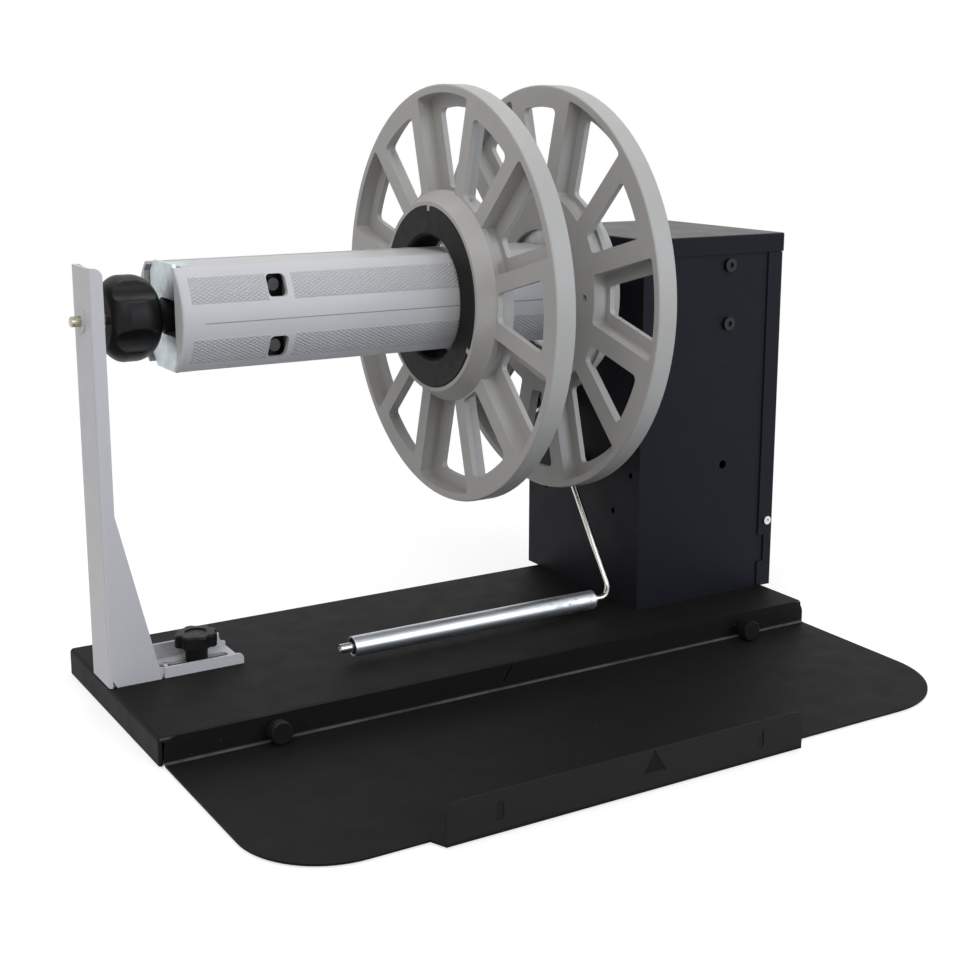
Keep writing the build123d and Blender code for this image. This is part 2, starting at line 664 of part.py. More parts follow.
# ------------------------------------------------------------------ housing
COVER_SCREW_X = HOUSING_RIGHT - COVER_SCREW_INSET
STRIP_BOTTOM = BASE_TOP + SEAT
ALL_BRIDGE_SCREWS = [(LEFT + BRIDGE_SCREW_X, z) for z in BRIDGE_SCREW_Z]
CAP_SCREW_Z = HOUSING_TOP - CAP_SCREW_DROP
CAP_SCREW_X = (HOUSING_LEFT + CAP_SCREW_INSET, HOUSING_RIGHT - CAP_SCREW_INSET)
CAP_OUT = CAP_GAP + WALL_SHEET
ROD_RUN = hypot(ROLLER[0] - PIVOT[0], ROLLER[1] - PIVOT[1])
ROD_DIR = ((ROLLER[0] - PIVOT[0]) / ROD_RUN, (ROLLER[1] - PIVOT[1]) / ROD_RUN)
STOP_SIDE = ROD_R + STOP_R + SEAT
STOP = (
    PIVOT[0] + ROD_DIR[0] * STOP_ALONG - ROD_DIR[1] * STOP_SIDE,
    PIVOT[1] + ROD_DIR[1] * STOP_ALONG + ROD_DIR[0] * STOP_SIDE,
)

with BuildPart() as housing_shell:
    block((HOUSING_LEFT, INNER_RIGHT), (HOUSING_FRONT, HOUSING_BACK), (BASE_TOP, WALL_TOP))
    block(
        (INNER_LEFT, HOUSING_RIGHT), (INNER_FRONT, INNER_BACK), (BASE_TOP + WALL_SHEET, HOUSING_TOP),
        Mode.SUBTRACT,
    )
    block(
        (INNER_LEFT + FLOOR_FLANGE, HOUSING_RIGHT),
        (INNER_FRONT + FLOOR_FLANGE, INNER_BACK - FLOOR_FLANGE_BACK),
        (BASE_TOP, BASE_TOP + WALL_SHEET), Mode.SUBTRACT,
    )
    bar_x((INNER_LEFT, INNER_LEFT + PIVOT_BOSS), PIVOT_BOSS_R, PIVOT)
    bar_x((HOUSING_LEFT, INNER_LEFT + PIVOT_BOSS), PIVOT_R + SCREW_GAP, PIVOT, Mode.SUBTRACT)
    bar_x((HOUSING_LEFT, INNER_LEFT), STOP_SCREW_R + SCREW_GAP, STOP, Mode.SUBTRACT)
    bar_x((HOUSING_LEFT, INNER_LEFT), SHAFT_HOLE_R, SPINDLE, Mode.SUBTRACT)
    with BuildSketch(side(HOUSING_LEFT)):
        with PolarLocations(BEARING_BOLT_RADIUS, BEARING_BOLTS, start_angle=BEARING_BOLT_TURN):
            Circle(BEARING_BOLT_R + SCREW_GAP)
    extrude(amount=WALL_SHEET, mode=Mode.SUBTRACT)
    for setback, height in WALL_HOLES:
        bar_x((HOUSING_LEFT, INNER_LEFT), WALL_HOLE_R, (FRONT + setback, height), Mode.SUBTRACT)
    for spot in ALL_BRIDGE_SCREWS:
        bar_y((HOUSING_FRONT, HOUSING_BACK), BRIDGE_SCREW_R + SCREW_GAP, spot, Mode.SUBTRACT)
    bar_y(
        (HOUSING_FRONT, INNER_FRONT), SPARE_HOLE_R, (LEFT + BRIDGE_SCREW_X, SPARE_HOLE_Z),
        Mode.SUBTRACT,
    )
    bar_y(
        (HOUSING_FRONT, HOUSING_BACK), COVER_SCREW_R + SCREW_GAP, (COVER_SCREW_X, COVER_SCREW_Z),
        Mode.SUBTRACT,
    )
    for x in CAP_SCREW_X:
        bar_y((INNER_BACK, HOUSING_BACK), COVER_SCREW_R + SCREW_GAP, (x, CAP_SCREW_Z), Mode.SUBTRACT)
    for spot in FLOOR_SCREWS:
        bar_z(
            (BASE_TOP, BASE_TOP + WALL_SHEET), FLOOR_SCREW_R + SCREW_GAP, spot, Mode.SUBTRACT
        )
finish(housing_shell, "housing_shell")

with BuildPart() as right_cover:
    block((INNER_RIGHT, HOUSING_RIGHT), (HOUSING_FRONT, HOUSING_BACK), (STRIP_BOTTOM, WALL_TOP - SEAT))
    for wall, out in ((HOUSING_FRONT, -WALL_SHEET), (HOUSING_BACK, WALL_SHEET)):
        ends = sorted((wall, wall + out))
        block((HOUSING_RIGHT - STRIP_WIDTH, HOUSING_RIGHT), ends, (STRIP_BOTTOM, LIP_BOTTOM - SEAT))
        block(
            (HOUSING_RIGHT - STRIP_WIDTH, HOUSING_RIGHT - STRIP_WIDTH + STRIP_NOTCH[2]), ends,
            (BASE_TOP + STRIP_NOTCH[0], BASE_TOP + STRIP_NOTCH[1]), Mode.SUBTRACT,
        )
        bar_y(ends, COVER_SCREW_R + SCREW_GAP, (COVER_SCREW_X, COVER_SCREW_Z), Mode.SUBTRACT)
    bar_x((INNER_RIGHT, HOUSING_RIGHT), COVER_HOLE_R, SPINDLE, Mode.SUBTRACT)
finish(right_cover, "housing_right_cover")

with BuildPart() as housing_cap:
    block(
        (HOUSING_LEFT - CAP_OUT, HOUSING_RIGHT + CAP_OUT),
        (HOUSING_FRONT - CAP_OUT, HOUSING_BACK + CAP_OUT),
        (LIP_BOTTOM, HOUSING_TOP),
    )
    fillet(housing_cap.edges().filter_by(Axis.Z), CAP_CORNER_R)
    fillet(housing_cap.faces().sort_by(Axis.Z)[-1].edges(), WALL_SHEET)
    block(
        (HOUSING_LEFT - CAP_GAP, HOUSING_RIGHT + CAP_GAP),
        (HOUSING_FRONT - CAP_GAP, HOUSING_BACK + CAP_GAP),
        (LIP_BOTTOM, WALL_TOP), Mode.SUBTRACT,
    )
    for x in CAP_SCREW_X:
        bar_y(
            (HOUSING_BACK, HOUSING_BACK + CAP_OUT), COVER_SCREW_R + SCREW_GAP, (x, CAP_SCREW_Z),
            Mode.SUBTRACT,
        )
finish(housing_cap, "housing_cap")


def wall_screw(face_y, way, spot, radius, length, head_r, head):
    """A screw along Y with its head outside a wall whose outer face is at face_y."""
    bar_y(sorted((face_y, face_y + way * length)), radius, spot)
    bar_y(sorted((face_y, face_y - way * head)), head_r, spot)
    with BuildSketch(Plane(origin=(spot[0], face_y - way * head, spot[1]), z_dir=(0, way, 0))) as socket:
        RegularPolygon(head_r * SOCKET_SHARE, 6)
    extrude(socket.sketch, amount=head * SOCKET_DEPTH_SHARE, mode=Mode.SUBTRACT)


with BuildPart() as cover_screws:
    low = (COVER_SCREW_X, COVER_SCREW_Z)
    for wall, way in ((HOUSING_FRONT - WALL_SHEET, 1), (HOUSING_BACK + WALL_SHEET, -1)):
        wall_screw(
            wall, way, low, COVER_SCREW_R, COVER_SCREW_LENGTH, COVER_SCREW_HEAD_R, COVER_SCREW_HEAD
        )
    for x in CAP_SCREW_X:
        wall_screw(
            HOUSING_BACK + CAP_OUT, -1, (x, CAP_SCREW_Z), COVER_SCREW_R, COVER_SCREW_LENGTH,
            COVER_SCREW_HEAD_R, COVER_SCREW_HEAD,
        )
finish(cover_screws, "cover_screws")

with BuildPart() as housing_base_screws:
    for spot in FLOOR_SCREWS:
        bar_z((BASE_UNDER, BASE_UNDER + FLOOR_SCREW_LENGTH), FLOOR_SCREW_R, spot)
        bar_z((BASE_UNDER - FLOOR_SCREW_HEAD, BASE_UNDER), FLOOR_SCREW_HEAD_R, spot)
finish(housing_base_screws, "housing_base_screws")

with BuildPart() as bearing_bridge:
    block(
        (LEFT + BRIDGE_X, LEFT + BRIDGE_X + BRIDGE_FLANGE), (INNER_FRONT, INNER_BACK), BRIDGE_Z
    )
    block(
        (LEFT + BRIDGE_X + PLATE_SHEET, LEFT + BRIDGE_X + BRIDGE_FLANGE),
        (INNER_FRONT + PLATE_SHEET, INNER_BACK - PLATE_SHEET), BRIDGE_Z, Mode.SUBTRACT,
    )
    for spot in ALL_BRIDGE_SCREWS:
        bar_y((INNER_FRONT, INNER_BACK), BRIDGE_SCREW_R + SCREW_GAP, spot, Mode.SUBTRACT)
    bar_x((LEFT + BRIDGE_X, BODY_B_START), SHAFT_HOLE_R, SPINDLE, Mode.SUBTRACT)
    with BuildSketch(side(LEFT + BRIDGE_X)):
        with PolarLocations(BEARING_BOLT_RADIUS, BEARING_BOLTS, start_angle=BEARING_BOLT_TURN):
            Circle(BEARING_BOLT_R + SCREW_GAP)
    extrude(amount=PLATE_SHEET, mode=Mode.SUBTRACT)
finish(bearing_bridge, "bearing_bridge")

with BuildPart() as bridge_screws:
    for spot in ALL_BRIDGE_SCREWS:
        for wall, way in ((HOUSING_FRONT, 1), (HOUSING_BACK, -1)):
            wall_screw(
                wall, way, spot, BRIDGE_SCREW_R, BRIDGE_SCREW_LENGTH, BRIDGE_SCREW_HEAD_R,
                BRIDGE_SCREW_HEAD,
            )
finish(bridge_screws, "bridge_screws")

with BuildPart() as wall_plate:
    with BuildSketch(side(INNER_LEFT)):
        with Locations((0, -WALL_PLATE_DROP)):
            RectangleRounded(WALL_PLATE_WIDTH, WALL_PLATE_HEIGHT, WALL_PLATE_CORNER_R)
        Circle(SHAFT_HOLE_R, mode=Mode.SUBTRACT)
        with PolarLocations(BEARING_BOLT_RADIUS, BEARING_BOLTS, start_angle=BEARING_BOLT_TURN):
            Circle(BEARING_BOLT_R + SCREW_GAP, mode=Mode.SUBTRACT)
    extrude(amount=PLATE_SHEET)
finish(wall_plate, "wall_plate")


def bearing_housing(start):
    """A flanged housing round one ball bearing, bolted by its left face."""
    bar_x((start, start + BEARING_FLANGE), BEARING_FLANGE_R)
    bar_x((start, start + BEARING_BODY), BEARING_BODY_R)
    bar_x((start + LAND, start + BEARING_BODY), BEARING_OUTER_R + FIT, SPINDLE, Mode.SUBTRACT)
    bar_x((start, start + LAND), SHAFT_HOLE_R, SPINDLE, Mode.SUBTRACT)
    with BuildSketch(side(start)) as holes:
        with PolarLocations(BEARING_BOLT_RADIUS, BEARING_BOLTS, start_angle=BEARING_BOLT_TURN):
            Circle(BEARING_BOLT_R + SCREW_GAP)
    extrude(holes.sketch, amount=BEARING_FLANGE, mode=Mode.SUBTRACT)


with BuildPart() as bearing_housings:
    bearing_housing(PLATE_RIGHT)
    bearing_housing(BODY_B_START)
finish(bearing_housings, "bearing_housings")

with BuildPart() as bearing_screws:
    for head_face, end in (
        (HOUSING_LEFT, PLATE_RIGHT + BEARING_FLANGE), (LEFT + BRIDGE_X, BODY_B_START + BEARING_FLANGE)
    ):
        with BuildSketch(side(head_face)):
            with PolarLocations(BEARING_BOLT_RADIUS, BEARING_BOLTS, start_angle=BEARING_BOLT_TURN):
                Circle(BEARING_BOLT_R)
        extrude(amount=end - head_face + BEARING_SCREW_PAST)
        with BuildSketch(side(head_face - BEARING_SCREW_HEAD)):
            with PolarLocations(BEARING_BOLT_RADIUS, BEARING_BOLTS, start_angle=BEARING_BOLT_TURN):
                Circle(BEARING_SCREW_HEAD_R)
                RegularPolygon(BEARING_SCREW_SOCKET_R, 6, mode=Mode.SUBTRACT)
        extrude(amount=BEARING_SCREW_HEAD)
finish(bearing_screws, "bearing_screws")

RACE_MID_R = (SHAFT_R + FIT + BEARING_OUTER_R) / 2
GROOVE_R = BALL_R + FIT


def race(start, inner, outer):
    """One ring of a ball bearing, with its groove."""
    with BuildSketch(along(start)) as half:
        with Locations((BEARING_WIDTH / 2, (inner + outer) / 2)):
            Rectangle(BEARING_WIDTH, outer - inner)
        with Locations((BEARING_WIDTH / 2, RACE_MID_R)):
            Circle(GROOVE_R, mode=Mode.SUBTRACT)
    revolve(half.sketch, Axis((start, SPINDLE_Y, SPINDLE_Z), (1, 0, 0)))


with BuildPart() as bearing_outer_races:
    for start in (RACE_A, RACE_B):
        race(start, BEARING_OUTER_R - RACE_STEP, BEARING_OUTER_R)
finish(bearing_outer_races, "bearing_outer_races")

with BuildPart() as bearing_inner_races:
    for start in (RACE_A, RACE_B):
        race(start, SHAFT_R + FIT, SHAFT_R + FIT + RACE_STEP)
finish(bearing_inner_races, "bearing_inner_races")

with BuildPart() as bearing_balls:
    for start in (RACE_A, RACE_B):
        for index in range(BALL_COUNT):
            angle = radians(360 * index / BALL_COUNT)
            with Locations((
                start + BEARING_WIDTH / 2, SPINDLE_Y + RACE_MID_R * cos(angle),
                SPINDLE_Z + RACE_MID_R * sin(angle),
            )):
                Sphere(BALL_R)
finish(bearing_balls, "bearing_balls")

# ------------------------------------------------------------------ drag brake
FELT_END = BODY_A_END + FELT
DISC_START = FELT_END + BRAKE_GAP
DISC_END = DISC_START + BRAKE_DISC
NUT_START = LEFT + BRIDGE_X - BEARING_SCREW_HEAD - BRAKE_NUT
with BuildPart() as brake_felt:
    bar_x((BODY_A_END, FELT_END), BEARING_BODY_R - FELT_INSET)
    bar_x((BODY_A_END, FELT_END), BEARING_OUTER_R + FELT_INSET, SPINDLE, Mode.SUBTRACT)
finish(brake_felt, "brake_felt")

with BuildPart() as brake_disc:
    bar_x((DISC_START, DISC_END), BRAKE_DISC_R)
    bar_x((DISC_START, DISC_END), SHAFT_R + FIT, SPINDLE, Mode.SUBTRACT)
finish(brake_disc, "brake_disc")

SPRING_LENGTH = NUT_START - DISC_END - 2 * (SPRING_WIRE_R + SPRING_GAP)
SPRING_PITCH = SPRING_LENGTH / SPRING_TURNS
with BuildPart() as brake_spring:
    with BuildLine() as coil:
        Helix(
            SPRING_PITCH, SPRING_LENGTH, SPRING_COIL_R,
            center=(DISC_END + SPRING_WIRE_R + SPRING_GAP, SPINDLE_Y, SPINDLE_Z), direction=(1, 0, 0),
        )
    with BuildSketch(Plane(origin=coil.line @ 0, z_dir=coil.line % 0)):
        Circle(SPRING_WIRE_R)
    sweep()
finish(brake_spring, "brake_spring")
TURN_POINTS = 24
STEPS = SPRING_TURNS * TURN_POINTS
wire = [coil.line @ (step / STEPS) for step in range(STEPS + 1)]
between_turns = min(
    (wire[j] - wire[i]).length
    for i in range(len(wire))
    for j in range(i + TURN_POINTS // 2, len(wire))
)
print("brake spring, least gap between turns", round(between_turns - 2 * SPRING_WIRE_R, 3))

with BuildPart() as brake_nut:
    with BuildSketch(side(NUT_START)):
        RegularPolygon(BRAKE_NUT_R, 6)
        Circle(SHAFT_R + FIT, mode=Mode.SUBTRACT)
    extrude(amount=BRAKE_NUT)
finish(brake_nut, "brake_nut")

# ------------------------------------------------------------------ spindle
SHAFT_START = LEFT + HUB_BLOCK_START + SHAFT_INSET
SHAFT_END = CRANK_START + CRANK_HUB - CRANK_END_WALL
CRANK_FACE = CRANK_START + CRANK_HUB
with BuildPart() as spindle_shaft:
    bar_x((SHAFT_START, SHAFT_END), SHAFT_R)
    bar_x((CRANK_FACE - CRANK_BOLT_LENGTH, SHAFT_END), CRANK_BOLT_R + SCREW_GAP, SPINDLE, Mode.SUBTRACT)
    chamfer(spindle_shaft.edges().group_by(Axis.X)[0], SHAFT_CHAMFER)
finish(spindle_shaft, "spindle_shaft")

with BuildPart() as spindle_spacer:
    bar_x((SPACER_START, RACE_A), SPACER_R)
    bar_x((SPACER_START, RACE_A), SHAFT_R + FIT, SPINDLE, Mode.SUBTRACT)
finish(spindle_spacer, "spindle_spacer")

# ------------------------------------------------------------------ flanges
def sector(inner, outer, inset, corner):
    """One opening between two radial lines, pointing along sketch x, its sides inset from them."""
    apex = inset / sin(radians(HALF_SECTOR))
    reach = 1.3 * outer
    rise = reach * sin(radians(HALF_SECTOR))
    run = reach * cos(radians(HALF_SECTOR))
    with BuildSketch() as shape:
        Circle(outer)
        Circle(inner, mode=Mode.SUBTRACT)
        Polygon((apex, 0), (apex + run, -rise), (apex + run, rise), align=None, mode=Mode.INTERSECT)
        fillet(shape.vertices(), corner)
    return shape.sketch


def roll_flange(start):
    """The wheel-like disc of the roll, its collar to the left and its flat side to the right."""
    end = start + FLANGE_WIDTH
    recess = sector(HUB_R, FLANGE_R - FLANGE_RIM, RIB / 2, RECESS_CORNER_R)
    with BuildPart() as flange:
        with BuildSketch(side(start)):
            Circle(FLANGE_R)
        extrude(amount=FLANGE_WIDTH)
        fillet(flange.edges(), FLANGE_EDGE_R)
        with BuildSketch(side(start)):
            with PolarLocations(0, SECTORS // 2, start_angle=90):
                add(recess)
        extrude(amount=FLANGE_WIDTH - FLANGE_WALL, mode=Mode.SUBTRACT)
        with BuildSketch(side(start + FLANGE_WALL)):
            with PolarLocations(0, SECTORS // 2, start_angle=90 + 2 * HALF_SECTOR):
                add(recess)
        extrude(amount=FLANGE_WIDTH - FLANGE_WALL, mode=Mode.SUBTRACT)
        with BuildSketch(side(start)):
            with PolarLocations(0, SECTORS // 2, start_angle=90):
                add(sector(WINDOW_IN_R, WINDOW_OUT_R, RECESS_WINDOW_SIDE, WINDOW_CORNER_R))
            with PolarLocations(0, SECTORS // 2, start_angle=90 + 2 * HALF_SECTOR):
                add(sector(WINDOW_IN_R, WINDOW_OUT_R, WINDOW_SIDE, WINDOW_CORNER_R))
        extrude(amount=FLANGE_WIDTH, mode=Mode.SUBTRACT)
        with BuildSketch(along(start)):
            with BuildLine():
                Polyline(
                    (0, RING_R), (-COLLAR, RING_R), (-COLLAR, COLLAR_TOP_R), (0, COLLAR_FOOT_R),
                    (FLANGE_WALL, COLLAR_FOOT_R), (FLANGE_WALL, RING_R), close=True,
                )
            make_face()
        revolve(axis=Axis((start, SPINDLE_Y, SPINDLE_Z), (1, 0, 0)))
        bar_x((start - COLLAR, end - FLANGE_WALL), RING_R + FIT, SPINDLE, Mode.SUBTRACT)
        bar_x((start - COLLAR, end), RING_BORE_R + SEAT, SPINDLE, Mode.SUBTRACT)
        with BuildSketch(side(start - COLLAR)):
            with PolarLocations(RING_R - KEY_DEPTH / 2, KEYS, start_angle=90):
                Rectangle(KEY_DEPTH + 2 * SEAT, KEY_WIDTH)
        extrude(amount=COLLAR)
        with BuildSketch(side(end - FLANGE_WALL)):
            with PolarLocations(HUB_HOLE_RADIUS, KEYS, start_angle=60):
                Circle(HUB_HOLE_R)
        extrude(amount=FLANGE_WALL, mode=Mode.SUBTRACT)
    return flange


def core_ring(start):
    """The black ring in a flange's collar."""
    end = start + FLANGE_WIDTH - FLANGE_WALL
    with BuildPart() as ring:
        bar_x((start - COLLAR - RING_PROUD, end), RING_R)
        chamfer(ring.edges().group_by(Axis.X)[0], RING_CHAMFER)
        bar_x((start - COLLAR - RING_PROUD, end), RING_BORE_R, SPINDLE, Mode.SUBTRACT)
        chamfer(ring.edges().group_by(Axis.X)[0].sort_by(SortBy.RADIUS)[0], RING_LEAD)
        with BuildSketch(side(start - COLLAR - RING_PROUD)):
            with PolarLocations(RING_R - KEY_DEPTH / 2, KEYS, start_angle=90):
                Rectangle(KEY_DEPTH + 4 * SEAT, KEY_WIDTH + 2 * SEAT)
        extrude(amount=COLLAR + RING_PROUD + SEAT, mode=Mode.SUBTRACT)
    return ring


finish(roll_flange(LEFT + OUTER_FLANGE_X), "outer_flange")
finish(core_ring(LEFT + OUTER_FLANGE_X), "outer_flange_ring")
MIDDLE = LEFT + (OUTER_FLANGE_X + INNER_FLANGE_X + FLANGE_WIDTH) / 2
BETWEEN = Plane(origin=(MIDDLE, 0, 0), z_dir=(1, 0, 0))
with BuildPart() as inner_flange:
    add(mirror(roll_flange(LEFT + OUTER_FLANGE_X).part, about=BETWEEN, mode=Mode.PRIVATE))
finish(inner_flange, "inner_flange")
INNER_RING_FACE = LEFT + INNER_FLANGE_X + FLANGE_WIDTH + COLLAR + RING_PROUD
with BuildPart() as inner_flange_ring:
    add(mirror(core_ring(LEFT + OUTER_FLANGE_X).part, about=BETWEEN, mode=Mode.PRIVATE))
    with BuildSketch(side(INNER_RING_FACE - HUB_SCREW_DEPTH - SEAT)):
        with PolarLocations(HUB_SCREW_RADIUS, HUB_SCREWS, start_angle=HUB_SCREW_TURN):
            Circle(HUB_SCREW_R + SCREW_GAP)
    extrude(amount=HUB_SCREW_DEPTH + SEAT, mode=Mode.SUBTRACT)
finish(inner_flange_ring, "inner_flange_ring")

# ------------------------------------------------------------------ chuck
with BuildPart() as chuck_channel:
    with BuildSketch(side(LEFT + CHANNEL_START)):
        RectangleRounded(2 * CHANNEL_HALF_WIDTH, 2 * CHUCK_HALF_HEIGHT, CHANNEL_CORNER_R)
        RectangleRounded(
            2 * (CHANNEL_HALF_WIDTH - CHANNEL_SHEET), 2 * (CHUCK_HALF_HEIGHT - CHANNEL_SHEET),
            CHANNEL_CORNER_R - CHANNEL_SHEET, mode=Mode.SUBTRACT,
        )
    extrude(amount=CHANNEL_END - CHANNEL_START)
    for wedge_x in WEDGE_X:
        block(
            (LEFT + wedge_x - RAMP_LENGTH, LEFT + wedge_x + RAMP_LENGTH),
            (SPINDLE_Y - CHUCK_R, SPINDLE_Y + CHUCK_R),
            (SPINDLE_Z - WEDGE_WINDOW_HALF, SPINDLE_Z + WEDGE_WINDOW_HALF), Mode.SUBTRACT,
        )
    for rise in (-WINDOW_Z, WINDOW_Z):
        bar_y(
            (SPINDLE_Y - CHUCK_R, SPINDLE_Y + CHUCK_R), SHELL_SCREW_R + SCREW_GAP,
            (LEFT + WEDGE_X[0], SPINDLE_Z + rise), Mode.SUBTRACT,
        )
finish(chuck_channel, "chuck_channel")

with BuildPart() as chuck_end_plate:
    with BuildSketch(side(LEFT + END_PLATE_X)):
        Rectangle(2 * END_PLATE_HALF_WIDTH, 2 * (CHUCK_HALF_HEIGHT + END_TAB_SHEET))
        chamfer(vertices().group_by(Axis.X)[-1], END_PLATE_CHAMFER)
        chamfer(vertices().group_by(Axis.X)[0], END_PLATE_CHAMFER / 2)
        with Locations((-NECK_R, 0)):
            SlotOverall(2 * END_PLATE_HALF_WIDTH, 2 * END_SLOT_HALF, mode=Mode.SUBTRACT)
    extrude(amount=CHANNEL_SHEET)
    for low, high in (
        (CHUCK_HALF_HEIGHT, CHUCK_HALF_HEIGHT + END_TAB_SHEET),
        (-CHUCK_HALF_HEIGHT - END_TAB_SHEET, -CHUCK_HALF_HEIGHT),
    ):
        block(
            (LEFT + END_PLATE_X, LEFT + CHANNEL_START + END_TAB),
            (SPINDLE_Y - END_TAB_OUT, SPINDLE_Y - END_TAB_OUT + END_TAB_WIDTH),
            (SPINDLE_Z + low, SPINDLE_Z + high),
        )
finish(chuck_end_plate, "chuck_end_plate")

SUPPORT_START = LEFT + SUPPORT_X
BLOCK_HALF_WIDTH = CHANNEL_HALF_WIDTH - CHANNEL_SHEET - CHANNEL_FIT
BLOCK_HALF_HEIGHT = CHUCK_HALF_HEIGHT - CHANNEL_SHEET - CHANNEL_FIT
with BuildPart() as screw_support:
    with BuildSketch(side(SUPPORT_START)):
        RectangleRounded(2 * BLOCK_HALF_WIDTH, 2 * BLOCK_HALF_HEIGHT, BLOCK_EDGE_R)
        Circle(JOURNAL_R + FIT, mode=Mode.SUBTRACT)
    extrude(amount=SUPPORT_LENGTH)
finish(screw_support, "screw_support")

PILOT_END = SHAFT_START - PILOT_WALL
with BuildPart() as spindle_hub_block:
    with BuildSketch(side(LEFT + HUB_BLOCK_START)):
        RectangleRounded(2 * BLOCK_HALF_WIDTH, 2 * BLOCK_HALF_HEIGHT, BLOCK_EDGE_R)
    extrude(amount=HUB_BLOCK_END - HUB_BLOCK_START)
    bar_x((LEFT + HUB_BLOCK_START, PILOT_END), JOURNAL_R + FIT, SPINDLE, Mode.SUBTRACT)
    bar_x((PILOT_END, LEFT + HUB_BLOCK_END), SHAFT_R + FIT, SPINDLE, Mode.SUBTRACT)
finish(spindle_hub_block, "spindle_hub_block")

KNOB_NOSE = (0, 0.62 * KNOB_R)
KNOB_BROW = (0.12 * KNOB_LENGTH, 0.9 * KNOB_R)
KNOB_FRONT_EDGE = (0.4 * KNOB_LENGTH, KNOB_R)
KNOB_REAR_EDGE = (0.55 * KNOB_LENGTH, KNOB_R)
KNOB_SHOULDER = (0.85 * KNOB_LENGTH, 0.84 * KNOB_R)
KNOB_REAR = (KNOB_LENGTH, 0.5 * KNOB_R)
NECK_START = LEFT + KNOB_START + KNOB_LENGTH
NECK_END = NECK_START + NECK_LENGTH
NECK_GROOVE = (NECK_START + NECK_STEP, NECK_START + NECK_STEP + NECK_GROOVE_WIDTH)
with BuildPart() as drawscrew:
    bar_x((LEFT - PIN_PROUD, LEFT + KNOB_START), PIN_R)
    chamfer(drawscrew.edges().group_by(Axis.X)[0], PIN_CHAMFER)
    bar_x((LEFT + KNOB_START, PILOT_END - PILOT_ROOM), JOURNAL_R)
    bar_x((SUPPORT_START + SUPPORT_LENGTH + SEAT, LEFT + HUB_BLOCK_START - SEAT), SCREW_R)
finish(drawscrew, "drawscrew")


def lobed(radius, lobes, scoop, bite):
    """A lobed knob's outline: a circle with round scoops between its lobes."""
    with BuildSketch() as outline:
        Circle(radius)
        with PolarLocations(radius + scoop - bite, lobes, start_angle=180 / lobes):
            Circle(scoop, mode=Mode.SUBTRACT)
        fillet(outline.vertices(), LOBE_EDGE_R)
    return outline.sketch


with BuildPart() as chuck_knob:
    with BuildSketch(side(LEFT + KNOB_START)):
        with Locations(Location((0, 0, 0), (0, 0, KNOB_TURN))):
            add(lobed(KNOB_R, KNOB_LOBES, KNOB_SCOOP_R, KNOB_BITE))
    extrude(amount=KNOB_LENGTH)
    with BuildSketch(along(LEFT + KNOB_START)):
        with BuildLine():
            Line((0, 0), KNOB_NOSE)
            ThreePointArc(KNOB_NOSE, KNOB_BROW, KNOB_FRONT_EDGE)
            Line(KNOB_FRONT_EDGE, KNOB_REAR_EDGE)
            ThreePointArc(KNOB_REAR_EDGE, KNOB_SHOULDER, KNOB_REAR)
            Polyline(KNOB_REAR, (KNOB_LENGTH, 0), (0, 0))
        make_face()
    revolve(axis=Axis((0, SPINDLE_Y, SPINDLE_Z), (1, 0, 0)), mode=Mode.INTERSECT)
    bar_x((LEFT + KNOB_START, NECK_START), JOURNAL_R + FIT, SPINDLE, Mode.SUBTRACT)
finish(chuck_knob, "chuck_knob")

with BuildPart() as knob_neck:
    bar_x((NECK_START, NECK_END), NECK_R)
    chamfer(knob_neck.edges().group_by(Axis.X)[-1], NECK_CHAMFER)
    bar_x(NECK_GROOVE, NECK_R, SPINDLE, Mode.SUBTRACT)
    bar_x((NECK_START, NECK_END), NECK_R - NECK_GROOVE_DEPTH)
    bar_x((NECK_START, NECK_END), JOURNAL_R + FIT, SPINDLE, Mode.SUBTRACT)
finish(knob_neck, "knob_neck")

WEDGE_SLOPE = SHELL_TRAVEL / WEDGE_TRAVEL
RAMP_GAP = SEAT * hypot(1, WEDGE_SLOPE)
with BuildPart() as wedge_nuts:
    for wedge_x in WEDGE_X:
        with BuildSketch(Plane.XY.offset(SPINDLE_Z - WEDGE_HALF_HEIGHT)):
            half = WEDGE_LENGTH / 2
            thin = WEDGE_MID_HALF - WEDGE_SLOPE * half
            thick = WEDGE_MID_HALF + WEDGE_SLOPE * half
            with Locations((LEFT + wedge_x, SPINDLE_Y)):
                Polygon((-half, -thin), (half, -thick), (half, thick), (-half, thin), align=None)
        extrude(amount=2 * WEDGE_HALF_HEIGHT)
        bar_x(
            (LEFT + wedge_x - WEDGE_LENGTH, LEFT + wedge_x + WEDGE_LENGTH), SCREW_R + FIT,
            SPINDLE, Mode.SUBTRACT,
        )
finish(wedge_nuts, "wedge_nuts")


